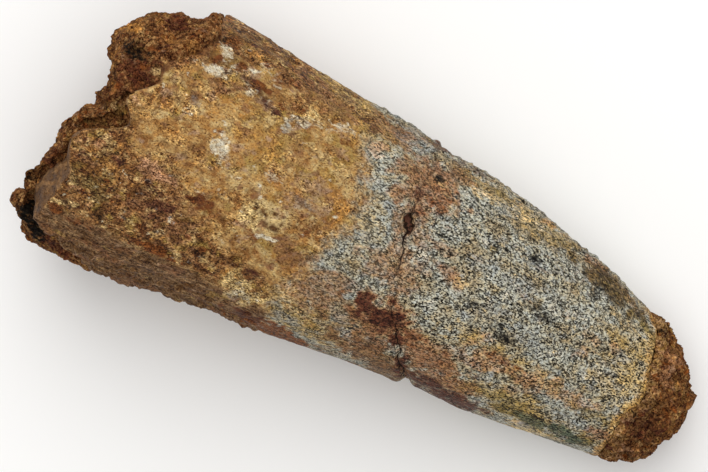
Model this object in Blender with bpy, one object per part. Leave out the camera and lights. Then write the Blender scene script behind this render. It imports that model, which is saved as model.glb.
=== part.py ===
"""A fossil spinosaurus tooth, lying on its side, with the sandstone that still fills its broken root and
caps its broken tip. Lengths are in millimetres until a mesh is written. X runs from root to tip, +Y is the
edge that is on top in the usual view from above, and Z is up from the table."""

import math

import bmesh
import bpy
from mathutils import Vector, noise

MM = 0.001
WELD = 0.0005
# Left between the tooth and the sandstone that is cemented to it
GAP = 0.3

# The tooth's outline seen from above: how far each edge stands from the long axis
UPPER_EDGE = [
    (-24.0, 15.9), (-21.7, 15.7), (-18.9, 15.5), (-14.7, 15.0), (-10.5, 14.5), (-6.3, 14.1), (-2.1, 13.85),
    (0.5, 13.6), (4.2, 13.2), (6.0, 12.65), (8.4, 12.85), (10.5, 12.7), (12.6, 12.1), (16.8, 11.5),
    (21.0, 10.35), (25.2, 9.55), (27.2, 9.1), (29.3, 8.0), (32.1, 7.05), (36.0, 6.1),
]
LOWER_EDGE = [
    (-24.0, -15.15), (-21.0, -14.5), (-16.8, -14.1), (-12.6, -13.4), (-8.4, -13.0), (-4.2, -12.8),
    (0.0, -12.3), (4.2, -11.65), (8.4, -11.6), (12.6, -10.95), (16.8, -11.05), (21.0, -10.75),
    (25.2, -10.2), (29.3, -9.75), (33.5, -9.2), (36.0, -9.0),
]
# The section is a little flatter than it is wide, and squarer than an ellipse
HALF_HEIGHT = [(-24.0, 13.8), (-12.0, 13.0), (0.0, 11.7), (12.6, 10.5), (21.0, 9.4), (29.3, 7.8), (36.0, 6.4)]
SQUARENESS = 2.3
# Height of the underside before the table's plane cuts it: it is pressed flat at both ends and arched between
UNDERSIDE = [
    (-30.0, -0.3), (-24.0, -0.5), (-14.0, -0.4), (4.0, 0.5), (20.0, -0.35), (30.0, -0.5), (34.0, -0.3),
]

# Where the root's wall is snapped off, for each place across the tooth, above and below
ROOT_BREAK_ABOVE = [
    (15.7, -21.7), (11.1, -22.4), (8.0, -25.0), (6.1, -24.3), (3.3, -27.1), (0.8, -24.8), (-1.6, -29.4),
    (-3.1, -30.3), (-5.1, -29.3), (-6.1, -28.6), (-9.4, -29.2), (-12.5, -30.2), (-13.1, -28.3),
    (-13.7, -25.8), (-14.9, -22.6),
]
ROOT_BREAK_BELOW = [
    (15.7, -21.7), (13.0, -23.5), (9.0, -27.0), (5.0, -25.8), (1.0, -28.6), (-4.0, -27.2), (-8.0, -28.6),
    (-12.0, -25.5), (-14.9, -22.6),
]
# The root is hollow: its wall goes round a socket as wide as the section at one place, down to a floor
WALL = 2.6
ROOT_SECTION_AT = -24.0
SOCKET_FLOOR = -19.0
# The wall's broken edge steps in a little, except where a chip has left a smooth slanted face on it
EDGE_STEP = 0.4
CHIP_FROM = math.radians(103)
CHIP_TO = math.radians(150)
CHIP_LENGTH = 2.6

# A crack runs right round the tooth near the middle, for each place across it
CRACK = [
    (12.5, 4.8), (4.1, 5.0), (0.0, 6.3), (-4.7, 7.6), (-7.0, 9.0), (-9.6, 10.7), (-10.8, 12.0),
]
CRACK_SHARE = 0.515
CRACK_HALF_WIDTH = 0.4
CRACK_DEPTH = 0.35

# How far the sandstone in the root reaches, for each place across it, and how it rounds off above and below
ROOT_STONE_END = [
    (14.9, -22.3), (13.8, -24.3), (13.6, -25.6), (12.4, -28.9), (11.2, -30.2), (9.8, -31.1), (7.9, -31.0),
    (5.9, -30.6), (3.5, -29.5), (2.3, -30.2), (1.5, -29.5), (-0.5, -31.5), (-2.7, -32.2), (-5.4, -32.1),
    (-9.0, -31.8), (-10.2, -33.4), (-11.2, -33.6), (-12.8, -32.1), (-14.4, -30.8), (-14.9, -29.1),
]
ROOT_STONE_ROUNDING = 3.2
ROOT_STONE_HOLLOWS = 2.4
HOLLOW_SIZE = 5.5
# Its thickness outside the wall, as a share of the wall's outer size, by angle in degrees round the section
ROOT_STONE_THICKNESS = [
    (0, 0.96), (30, 0.96), (55, 0.96), (70, 0.93), (82, 0.86), (100, 0.84), (128, 0.86), (145, 0.93),
    (162, 0.97), (180, 0.985), (205, 0.95), (240, 0.86), (300, 0.84), (335, 0.93), (360, 0.97),
]

# Where the tip is snapped off, above and below, and how far the sandstone on it reaches
TIP_BREAK_ABOVE = [
    (7.1, 31.6), (6.5, 32.1), (5.5, 33.6), (3.4, 34.2), (1.1, 34.7), (-1.1, 35.6), (-2.4, 35.3),
    (-4.1, 34.3), (-7.0, 34.2), (-9.0, 33.8),
]
TIP_BREAK_BELOW = [(7.1, 31.6), (4.0, 32.4), (0.0, 33.2), (-4.0, 33.0), (-9.0, 33.8)]
TIP_FACE = 34.0
TIP_SECTION_AT = 35.0
TIP_STONE_END = [
    (6.6, 35.6), (5.7, 36.6), (4.5, 37.6), (2.6, 38.9), (0.6, 40.1), (-1.9, 40.3), (-3.3, 40.5), (-4.6, 39.4),
    (-6.0, 39.2), (-7.4, 38.5), (-8.0, 37.7), (-9.0, 36.4),
]
TIP_STONE_SQUARENESS = 6.0
TIP_STONE_ROUNDING = 0.45

# Weathering: how wide its swellings are and how far they stand out
TOOTH_SWELLING = {"size": 4.5, "depth": 0.22}
TOOTH_SWELLING_STRETCH = 0.35
ROOT_STONE_SWELLING = {"size": 2.4, "depth": 0.4}
TIP_STONE_SWELLING = {"size": 1.9, "depth": 0.35}

# Lumps on the tooth and a pit on its crack, and lumps on the sandstone: place, radius and height
TOOTH_LUMPS = [
    ((5.0, 4.1, 23.0), 1.0, -0.8), ((4.9, 12.6, 15.5), 1.2, 0.45), ((-17.5, 3.0, 27.0), 3.4, 0.3),
    ((-9.0, -9.0, 22.0), 4.0, -0.35), ((20.0, 3.0, 18.5), 5.0, 0.25), ((-4.0, 9.5, 22.5), 4.5, -0.3),
]
ROOT_LUMPS = [
    ((-30.0, 9.0, 19.0), 3.6, 0.8), ((-26.5, 11.5, 18.0), 3.0, 0.6), ((-28.6, 3.0, 20.0), 1.6, 0.9),
    ((-33.0, -11.0, 12.0), 2.0, 0.5), ((-30.5, -13.2, 9.5), 2.6, 0.5), ((-31.5, 2.0, 9.0), 4.0, 0.7),
]
TIP_LUMPS = [
    ((34.6, 6.6, 8.0), 1.3, 0.7), ((39.8, -0.4, 7.0), 1.2, 0.7), ((35.6, -8.8, 7.5), 1.6, 0.5),
    ((38.5, -5.0, 9.0), 2.2, 0.5), ((37.0, 2.5, 10.5), 2.0, 0.35), ((38.0, -2.0, 3.5), 2.4, 0.5),
]

# Points round a ring: close together on the upper half, further apart below
POINTS_ABOVE = 58
POINTS_BELOW = 26
# Rings along the tooth, which lean with the broken edges and with the crack near them
RINGS_BEFORE_CRACK = 13
RINGS_AFTER_CRACK = 13
ROOT_FADE = 4
TIP_FADE = 6
CRACK_FADE = 0.22
# Rings over the ends, by their size as a share of the end's: those of the root's stone that lie over its wall
# stay clear of it
TIP_FACE_SHARES = (0.72, 0.38)
ROOT_STONE_SIDE_STEPS = (0.0, 0.35, 0.7)
ROOT_STONE_END_SHARES = (1.0, 0.94, 0.86, 0.75, 0.61, 0.45, 0.28, 0.12, 0.0)
OVER_THE_WALL = 0.7
TIP_STONE_END_SHARES = (0.98, 0.93, 0.85, 0.74, 0.6, 0.42, 0.22, 0.0)


def along(line, at):
    """The value of a line of (place, value) points at one place, straight between the points."""
    points = sorted(line)
    if at <= points[0][0]:
        return points[0][1]
    for (x0, y0), (x1, y1) in zip(points, points[1:]):
        if at <= x1:
            return y0 + (y1 - y0) * (at - x0) / (x1 - x0)
    return points[-1][1]


def smooth_along(line, at, reach=1.6):
    """As along, but averaged over a short reach to each side, which rounds the corners."""
    steps = (-1.0, -0.5, 0.0, 0.5, 1.0)
    return sum(along(line, at + step * reach) for step in steps) / len(steps)


def ring_angles():
    """Angles round the section: 0 is the upper edge, 90 degrees the top, 180 degrees the lower edge."""
    above = [math.pi * k / POINTS_ABOVE for k in range(POINTS_ABOVE)]
    below = [math.pi + math.pi * k / POINTS_BELOW for k in range(POINTS_BELOW)]
    return above + below


def section(at, angle, inset=0.0, share=1.0):
    """The point (y, z) of the tooth's own section at one place along it, inset or shrunk about its centre."""
    upper, lower = smooth_along(UPPER_EDGE, at), smooth_along(LOWER_EDGE, at)
    half_height = smooth_along(HALF_HEIGHT, at)
    half_width = (upper - lower) / 2
    middle_y = (upper + lower) / 2
    middle_z = half_height + smooth_along(UNDERSIDE, at)
    power = 2 / SQUARENESS
    side = math.copysign(abs(math.cos(angle)) ** power, math.cos(angle))
    rise = math.copysign(abs(math.sin(angle)) ** power, math.sin(angle))
    return (
        middle_y + side * (half_width - inset) * share,
        middle_z + rise * (half_height - inset) * share,
    )


def broken_at(above, below, at, angle):
    """Where a broken edge lies along the tooth, at one angle round the section that it crosses."""
    y, _ = section(at, angle)
    return along(above if math.sin(angle) >= 0 else below, y)


def root_edge(angle):
    """Where the wall's outer edge is broken off, along the tooth."""
    return broken_at(ROOT_BREAK_ABOVE, ROOT_BREAK_BELOW, ROOT_SECTION_AT, angle)


def socket_edge(angle):
    """The inner edge of the broken wall. The chip makes it reach further out than the outer edge."""
    across_chip = (angle - CHIP_FROM) / (CHIP_TO - CHIP_FROM)
    chip = CHIP_LENGTH * math.sin(math.pi * across_chip) ** 0.8 if 0 < across_chip < 1 else 0.0
    return root_edge(angle) + EDGE_STEP - chip


def tip_edge(angle):
    """Where the tip is broken off, along the tooth."""
    return broken_at(TIP_BREAK_ABOVE, TIP_BREAK_BELOW, TIP_SECTION_AT, angle)


def swollen(point, away, swelling, stretch=1.0):
    """The point moved along away by a smooth unevenness, which may be drawn out along the tooth."""
    place = Vector((point.x * stretch, point.y, point.z)) / swelling["size"]
    coarse = noise.noise(place)
    fine = noise.noise(place * 2.3 + Vector((7.0, 3.0, 5.0)))
    return point + away * swelling["depth"] * (coarse + 0.5 * fine)


def outward(point, middle):
    """Direction from the tooth's axis to the point."""
    away = Vector((0.0, point.y - middle[0], point.z - middle[1]))
    return away.normalized() if away.length > WELD else Vector((1.0, 0.0, 0.0))


def raised_by(point, away, lumps):
    """The point pushed along away by every lump that it lies near, or into a pit of negative height."""
    moved = point.copy()
    for centre, radius, height in lumps:
        distance = (point - Vector(centre)).length / radius
        moved += away * height * math.exp(-1.5 * distance * distance)
    return moved


def above(height, point):
    """The point, brought up to that height if it is lower."""
    return Vector((point.x, point.y, max(point.z, height)))


def closed_body(name, rings, colour, roughness):
    """A sheet with a row for each ring, rolled up and welded. The first and last rings are single points."""
    around = len(rings[0])
    bm = bmesh.new()
    bmesh.ops.create_grid(bm, x_segments=around, y_segments=len(rings) - 1, size=1.0)
    bm.verts.ensure_lookup_table()
    for row, ring in enumerate(rings):
        for column in range(around + 1):
            bm.verts[row * (around + 1) + column].co = ring[column % around]
    bmesh.ops.remove_doubles(bm, verts=bm.verts[:], dist=WELD)
    bmesh.ops.triangulate(bm, faces=bm.faces[:])
    bmesh.ops.recalc_face_normals(bm, faces=bm.faces[:])
    bmesh.ops.scale(bm, vec=(MM, MM, MM), verts=bm.verts[:])
    mesh = bpy.data.meshes.new(name)
    bm.to_mesh(mesh)
    bm.free()
    mesh.shade_smooth()
    mesh.set_sharp_from_angle(angle=math.radians(40))
    mesh.materials.append(finish(name, colour, roughness))
    obj = bpy.data.objects.new(name, mesh)
    bpy.context.scene.collection.objects.link(obj)
    return obj


def finish(name, colour, roughness):
    """A plain material for one piece."""
    material = bpy.data.materials.new(name)
    material.use_nodes = True
    surface = material.node_tree.nodes["Principled BSDF"]
    surface.inputs["Base Color"].default_value = (*colour, 1.0)
    surface.inputs["Roughness"].default_value = roughness
    surface.inputs["Metallic"].default_value = 0.0
    return material


def tooth_rings(angles):
    """From the floor of the root's socket, out over its broken edge, along the tooth and over the tip."""
    rings = plug_rings(angles, SOCKET_FLOOR, [socket_edge(angle) for angle in angles], inset=WALL)
    for share in ring_shares():
        rings.append([outer_point(share, angle) for angle in angles])
    for share in TIP_FACE_SHARES:
        rings.append([tip_face_point(angle, share) for angle in angles])
    tip_middle = Vector((TIP_FACE, *section(TIP_SECTION_AT, 0.0, share=0.0)))
    rings.append([tip_middle for _ in angles])
    return rings


def plug_rings(angles, floor, edges, inset):
    """The form of the socket: from the middle of its floor to its corner, and along its side to the edges."""
    middle = section(ROOT_SECTION_AT, 0.0, share=0.0)
    side = [section(ROOT_SECTION_AT, angle, inset=inset) for angle in angles]
    rings = [[Vector((floor, *middle)) for _ in angles]]
    rings.append([Vector((floor, *middle)).lerp(Vector((floor, *point)), 0.5) for point in side])
    rings.append([Vector((floor, *point)) for point in side])
    rings.append([Vector(((floor + edge) / 2, *point)) for edge, point in zip(edges, side)])
    rings.append([Vector((edge, *point)) for edge, point in zip(edges, side)])
    return rings


def ring_shares():
    """Where the rings lie between the root's edge (0) and the tip's (1), one of them in the crack."""
    lip = CRACK_HALF_WIDTH / (TIP_FACE - ROOT_BREAK_ABOVE[0][1])
    before = [(CRACK_SHARE - lip) * k / RINGS_BEFORE_CRACK for k in range(RINGS_BEFORE_CRACK + 1)]
    first = CRACK_SHARE + lip
    after = [first + (1 - first) * k / RINGS_AFTER_CRACK for k in range(RINGS_AFTER_CRACK + 1)]
    return before + [CRACK_SHARE] + after


def outer_point(share, angle):
    """A point of the tooth's outside: share 0 is on the root's broken edge and 1 on the tip's."""
    start, end = ROOT_BREAK_ABOVE[0][1], TIP_FACE
    at = start + (end - start) * share
    at += (root_edge(angle) - start) * (1 - share) ** ROOT_FADE
    at += (tip_edge(angle) - end) * share**TIP_FADE
    crack_middle = start + (end - start) * CRACK_SHARE
    crack = broken_at(CRACK, CRACK, crack_middle, angle)
    at += (crack - crack_middle) * math.exp(-(((share - CRACK_SHARE) / CRACK_FADE) ** 2))
    point = Vector((at, *section(at, angle)))
    away = outward(point, section(at, 0.0, share=0.0))
    point = raised_by(swollen(point, away, TOOTH_SWELLING, TOOTH_SWELLING_STRETCH), away, TOOTH_LUMPS)
    if share == CRACK_SHARE:
        point -= away * CRACK_DEPTH
    # The table's plane cuts it, which leaves the two flats that it rests on
    return above(0.0, point)


def tip_face_point(angle, share, clearance=0.0):
    """A point of the tip's broken face, which is near flat inside its uneven rim, or clear in front of it."""
    at = TIP_FACE + (tip_edge(angle) - TIP_FACE) * share**2
    return Vector((at + clearance, *section(tip_edge(angle), angle, share=share)))


def root_stone_rings(angles):
    """From the floor of the socket to its mouth, out over the wall's edge and round the broken end."""
    mouths = stone_mouths(angles)
    rings = plug_rings(angles, SOCKET_FLOOR - GAP, mouths, inset=WALL + GAP)
    for step in ROOT_STONE_SIDE_STEPS:
        rings.append([stone_side(angle, mouth, step) for angle, mouth in zip(angles, mouths)])
    for share in ROOT_STONE_END_SHARES:
        rings.append([stone_end(angle, mouth, share) for angle, mouth in zip(angles, mouths)])
    return rings


def stone_mouths(angles):
    """Where the stone clears the wall at each angle: the furthest out of the edges on both sides of it."""
    edges = [min(root_edge(angle), socket_edge(angle)) for angle in angles]
    count = len(edges)
    return [min(edges[k - 1], edges[k], edges[(k + 1) % count]) - GAP for k in range(count)]


def stone_outline(angle, share=1.0):
    """The point (y, z) of the stone outside the wall."""
    thickness = along(ROOT_STONE_THICKNESS, math.degrees(angle))
    return section(ROOT_SECTION_AT, angle, share=thickness * share)


def stone_end(angle, mouth, share):
    """A point of the stone's broken end. It reaches furthest along a wavy level and rounds off from there."""
    y, z = stone_outline(angle, share)
    middle = section(ROOT_SECTION_AT, 0.0, share=0.0)
    level = middle[1] * (1 + 0.22 * math.sin(y * 0.42))
    height = min(abs(z - level) / middle[1], 1.0)
    rounded = ROOT_STONE_ROUNDING * (1 - math.sqrt(1 - 0.9 * height * height))
    hollow = ROOT_STONE_HOLLOWS * abs(noise.noise(Vector((y, z, 3.0)) / HOLLOW_SIZE))
    point = Vector((along(ROOT_STONE_END, y) + rounded + hollow, y, z))
    away = Vector((-1.0, 0.0, 0.0)).lerp(outward(point, middle), share).normalized()
    point = raised_by(swollen(point, away, ROOT_STONE_SWELLING), away, ROOT_LUMPS)
    if share > OVER_THE_WALL:
        point.x = min(point.x, mouth - GAP)
    return above(GAP, point)


def stone_side(angle, mouth, step):
    """A point of the stone's side: step 0 is at the wall's edge and 1 is on the rim of the stone's end."""
    point = Vector((mouth, *stone_outline(angle))).lerp(stone_end(angle, mouth, 1.0), step)
    if step:
        away = outward(point, section(ROOT_SECTION_AT, 0.0, share=0.0))
        point = swollen(point, away, ROOT_STONE_SWELLING)
    point.x = min(point.x, mouth)
    return above(GAP, point)


def tip_stone_rings(angles):
    """From the middle of the tip's broken face to its rim, and over the rounded end of the stone."""
    middle = Vector((TIP_FACE + GAP, *section(TIP_SECTION_AT, 0.0, share=0.0)))
    rings = [[middle for _ in angles]]
    for share in (*reversed(TIP_FACE_SHARES), 1.0):
        rings.append([above(GAP, tip_face_point(angle, share, clearance=GAP)) for angle in angles])
    for share in TIP_STONE_END_SHARES:
        rings.append([tip_stone_end(angle, share) for angle in angles])
    return rings


def tip_stone_end(angle, share):
    """A point of the tip stone's blunt end, which stays in front of the tip's broken edge."""
    rim = tip_edge(angle) + GAP
    y, z = section(TIP_FACE, angle, share=share)
    middle = section(TIP_SECTION_AT, 0.0, share=0.0)
    height = (z - middle[1]) / middle[1]
    reach = max(along(TIP_STONE_END, y) - rim, GAP) * (1 - TIP_STONE_ROUNDING * height * height)
    point = Vector((rim + reach * math.sqrt(1 - share**TIP_STONE_SQUARENESS), y, z))
    away = Vector((1.0, 0.0, 0.0)).lerp(outward(point, middle), share).normalized()
    point = raised_by(swollen(point, away, TIP_STONE_SWELLING), away, TIP_LUMPS)
    point.x = max(point.x, rim + GAP / 3)
    return above(GAP, point)


def stand_over_origin(objects):
    """Moves the meshes so that the origin is under the middle of the whole, on the table."""
    corners = [vertex.co for obj in objects for vertex in obj.data.vertices]
    low = Vector(min(corner[axis] for corner in corners) for axis in range(3))
    high = Vector(max(corner[axis] for corner in corners) for axis in range(3))
    shift = Vector((-(low.x + high.x) / 2, -(low.y + high.y) / 2, -low.z))
    for obj in objects:
        for vertex in obj.data.vertices:
            vertex.co += shift
        obj.data.update()


def build():
    """Clears the scene and makes the tooth and its two pieces of sandstone."""
    for obj in list(bpy.data.objects):
        bpy.data.objects.remove(obj)
    angles = ring_angles()
    tooth = closed_body("tooth", tooth_rings(angles), colour=(0.34, 0.24, 0.13), roughness=0.6)
    root_stone = closed_body(
        "root_sandstone", root_stone_rings(angles), colour=(0.2, 0.1, 0.04), roughness=0.9
    )
    tip_stone = closed_body(
        "tip_sandstone", tip_stone_rings(angles), colour=(0.17, 0.085, 0.035), roughness=0.9
    )
    stand_over_origin([tooth, root_stone, tip_stone])


build()
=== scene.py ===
"""The looks of a fossil spinosaurus tooth that lies on its side, with sandstone in its root and on its tip.

The tooth and its two pieces of sandstone each start from a copy of their solid. It is remeshed finely and
carved: the enamel's striae and pits, the crack with its broken-out hollow, and the sandstone's grains. What
is only colour is painted as masks on the mesh, one for each mineral, and the finishes mix the minerals by
them. Lengths are in millimetres in the frame of the solids, unless a name says otherwise.
"""

import logging
import math
from dataclasses import dataclass, field
from enum import Enum

import bmesh
import bpy
import numpy as np
from mathutils import Matrix, Vector, noise
from mathutils.bvhtree import BVHTree


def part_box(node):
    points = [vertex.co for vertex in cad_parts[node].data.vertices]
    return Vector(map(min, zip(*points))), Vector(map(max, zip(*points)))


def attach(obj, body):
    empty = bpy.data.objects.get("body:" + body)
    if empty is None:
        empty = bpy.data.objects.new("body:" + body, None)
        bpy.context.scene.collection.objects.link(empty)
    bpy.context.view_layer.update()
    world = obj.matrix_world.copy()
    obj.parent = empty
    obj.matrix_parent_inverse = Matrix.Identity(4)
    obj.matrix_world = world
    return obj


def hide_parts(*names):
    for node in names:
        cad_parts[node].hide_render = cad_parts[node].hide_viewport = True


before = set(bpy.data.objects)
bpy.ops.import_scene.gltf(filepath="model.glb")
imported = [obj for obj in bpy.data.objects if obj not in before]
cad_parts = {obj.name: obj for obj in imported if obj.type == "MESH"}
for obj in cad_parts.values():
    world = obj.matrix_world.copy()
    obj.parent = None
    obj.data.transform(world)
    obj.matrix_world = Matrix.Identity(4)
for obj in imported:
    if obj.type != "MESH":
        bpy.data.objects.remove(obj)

MM = 0.001
LOG = logging.getLogger("fossil")
# How far a piece looks for the one beside it
REACH = 4.0
# Vertices of a solid that are closer than this are one
WELD = 0.001
# How far the placed stains drift along and across the tooth on its underside
DRIFT = (7.0, 1.5)

Socket = bpy.types.NodeSocket
Ramp = tuple[tuple[float, str], ...]


def linear(colour: str) -> tuple[float, float, float, float]:
    """Turns an sRGB hex colour into the linear colour that a shader takes.

    Args:
        colour: A colour such as "#c0a06a".

    Returns:
        Red, green, blue and an alpha of one.
    """
    shares = [int(colour[k : k + 2], 16) / 255 for k in (1, 3, 5)]
    return (*(s / 12.92 if s <= 0.04045 else ((s + 0.055) / 1.055) ** 2.4 for s in shares), 1.0)


def eased(low: float, high: float, values: np.ndarray) -> np.ndarray:
    """Goes smoothly from 0 at low to 1 at high. High may be below low.

    Args:
        low: The value where the result is 0.
        high: The value where the result is 1.
        values: The values to ease.

    Returns:
        Shares from 0 to 1.
    """
    share = np.clip((values - low) / (high - low), 0.0, 1.0)
    return share * share * (3 - 2 * share)


def unevenness(
    points: np.ndarray, size: float, seed: float, octaves: int = 1, stretch: float = 1.0
) -> np.ndarray:
    """Smooth noise of about -1 to 1 at each point.

    Args:
        points: Places in millimetres, one a row.
        size: Width of the largest swellings, in millimetres.
        seed: Any number: another one gives another noise.
        octaves: How many finer noises are added, each half as wide and half as strong as the last.
        stretch: How many times longer a swelling is along the tooth than across it.

    Returns:
        One value for each point.
    """
    scaled = points / (size * np.array([stretch, 1.0, 1.0])) + seed
    return np.array([noise.fractal(place, 1.0, 2.0, octaves) for place in scaled.tolist()])


def granules(points: np.ndarray, size: float, seed: float) -> np.ndarray:
    """Heights of round grains that are packed side by side, from about -0.5 in the gaps to 0.5 on top.

    Args:
        points: Places in millimetres.
        size: Width of a grain, in millimetres.
        seed: Any number: another one gives other grains.

    Returns:
        One value for each point.
    """
    return np.array([0.5 - noise.voronoi(place)[0][0] for place in (points / size + seed).tolist()])


class Zone(Enum):
    """The parts of the fossil that stains keep to."""

    TAN = "tan"
    BROWN = "brown"
    SIDE = "side"
    CROWN = "crown"
    STONE = "stone"


class Mineral(Enum):
    """The stains on the fossil: colour, width of the grains that a stain breaks up into, and softness.

    They are oxides of iron and manganese, clay and salts, which seeped into the tooth in the ground. So they
    lie in the surface, without relief or gloss of their own, and break up into grains at their edges.
    """

    KHAKI = ("#94793f", 0.6, 0.3)
    ORANGE = ("#b07f42", 0.6, 0.3)
    SALMON = ("#a0775a", 0.45, 0.25)
    CREAM = ("#c0a674", 0.5, 0.2)
    PINK = ("#a2846a", 0.5, 0.2)
    UMBER = ("#5b3d20", 0.55, 0.3)
    RUSSET = ("#79543a", 0.5, 0.25)
    CHALK = ("#cbc1aa", 0.42, 0.12)
    SLATE = ("#777b7c", 0.4, 0.25)
    OLIVE = ("#6b5c34", 0.45, 0.22)
    TEAL = ("#4c5342", 0.45, 0.22)
    RUST = ("#6a3d1c", 0.38, 0.14)
    MAROON = ("#48261a", 0.4, 0.16)
    BLACK = ("#15120e", 0.3, 0.14)

    def __init__(self, colour: str, grain: float, softness: float) -> None:
        """Keeps what the stain looks like.

        Args:
            colour: Its colour.
            grain: Width of the grains that it breaks up into.
            softness: How softly they end.
        """
        self.colour = colour
        self.grain = grain
        self.softness = softness


@dataclass(frozen=True)
class Stain:
    """One stain, placed as it is seen from above.

    Attributes:
        mineral: What it is made of.
        x: Its middle along the tooth.
        y: Its middle across the tooth.
        long: Half its length.
        wide: Half its width.
        cover: How much of its middle the mineral covers, from 0 to 1.
        turn: Degrees by which its length is turned from the tooth's own, anticlockwise from above.
        ragged: How far its edge wanders, as a share of its size.
    """

    mineral: Mineral
    x: float
    y: float
    long: float
    wide: float
    cover: float
    turn: float = 0.0
    ragged: float = 1.0

    def share(self, places: np.ndarray, wander: np.ndarray) -> np.ndarray:
        """How much of each place it covers.

        Args:
            places: X and Y of each place.
            wander: A noise for each place, which moves the stain's edge.

        Returns:
            Shares from 0 to 1.
        """
        angle = math.radians(self.turn)
        offset = places - np.array([self.x, self.y])
        lengthwise = offset @ np.array([math.cos(angle), math.sin(angle)]) / self.long
        crosswise = offset @ np.array([-math.sin(angle), math.cos(angle)]) / self.wide
        return self.cover * eased(1.4, 0.5, np.hypot(lengthwise, crosswise) + self.ragged * wander)


@dataclass(frozen=True)
class Bloom:
    """Stains of one mineral that are strewn over a whole zone, on the hidden sides too.

    Attributes:
        mineral: What they are made of.
        zone: Where they lie.
        size: About how wide they are.
        rarity: From 0, where they cover half the zone, to 1, where they cover nothing.
        cover: How much of their middle the mineral covers, from 0 to 1.
        stretch: How many times longer than wide they are.
    """

    mineral: Mineral
    zone: Zone
    size: float
    rarity: float
    cover: float
    stretch: float = 1.3

    def share(self, points: np.ndarray, seed: float) -> np.ndarray:
        """How much of each point it covers.

        Args:
            points: Places in millimetres.
            seed: Any number: another one gives other stains.

        Returns:
            Shares from 0 to 1.
        """
        noisy = unevenness(points, self.size, seed, octaves=3, stretch=self.stretch)
        return self.cover * eased(self.rarity, self.rarity + 0.35, noisy)


@dataclass(frozen=True)
class Dent:
    """A place where a surface is pushed in or out, as it is seen from above.

    Attributes:
        x: Its middle along the tooth.
        y: Its middle across the tooth.
        long: Half its length.
        wide: Half its width.
        height: How far it stands out, or below 0 how deep it is.
    """

    x: float
    y: float
    long: float
    wide: float
    height: float

    def lift(self, points: np.ndarray, low: float) -> np.ndarray:
        """How far it moves each point.

        Args:
            points: Places in millimetres.
            low: The height under which it fades out.

        Returns:
            Millimetres along the normal.
        """
        offset = (points[:, :2] - np.array([self.x, self.y])) / np.array([self.long, self.wide])
        return self.height * np.exp(-np.square(offset).sum(axis=1)) * eased(low - 3, low, points[:, 2])


def placed(rows: dict[Mineral, list[tuple[float, ...]]]) -> list[Stain]:
    """Makes stains from short rows.

    Args:
        rows: For each mineral, its stains: X, Y, half length, half width, cover and, if need be, turn and
            raggedness.

    Returns:
        The stains.
    """
    return [Stain(mineral, *row) for mineral, group in rows.items() for row in group]


def strewn(rows: dict[Zone, list[tuple]]) -> list[Bloom]:
    """Makes strewn stains from short rows. Their order matters, as each takes its noise from its number.

    Args:
        rows: For each zone, its stains: mineral, size, rarity, cover and, if need be, stretch.

    Returns:
        The strewn stains.
    """
    return [Bloom(mineral, zone, *row) for zone, group in rows.items() for mineral, *row in group]


def painted(
    points: np.ndarray, stains: list[Stain], blooms: list[Bloom], zones: dict[Zone, np.ndarray],
    seen: np.ndarray | float = 1.0,
) -> dict[Mineral, np.ndarray]:
    """The cover of each mineral at each point. Below the widest part the placed stains drift and change.

    Args:
        points: Places in millimetres.
        stains: The stains that are placed as seen from above.
        blooms: The stains that are strewn over a zone.
        zones: How much each point belongs to each zone.
        seen: How much of the placed stains each point has.

    Returns:
        For each mineral, its cover at each point.
    """
    middle = points[:, 2].max() / 2
    below = eased(middle, 0.0, points[:, 2])[:, None]
    places = points[:, :2] + below * np.array(DRIFT)
    broad = unevenness(points, size=1.6, seed=31.0, octaves=2)
    fine = unevenness(points, size=0.6, seed=32.0, octaves=2)
    wander = 0.5 * broad + 0.5 * fine
    covers = {mineral: np.zeros(len(points)) for mineral in Mineral}
    for number, bloom in enumerate(blooms):
        # Each one gets a noise of its own
        cover = bloom.share(points, seed=70.0 + 3.7 * number) * zones[bloom.zone]
        covers[bloom.mineral] = np.maximum(covers[bloom.mineral], cover)
    for stain in stains:
        covers[stain.mineral] = np.maximum(covers[stain.mineral], seen * stain.share(places, wander))
    return covers


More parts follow.
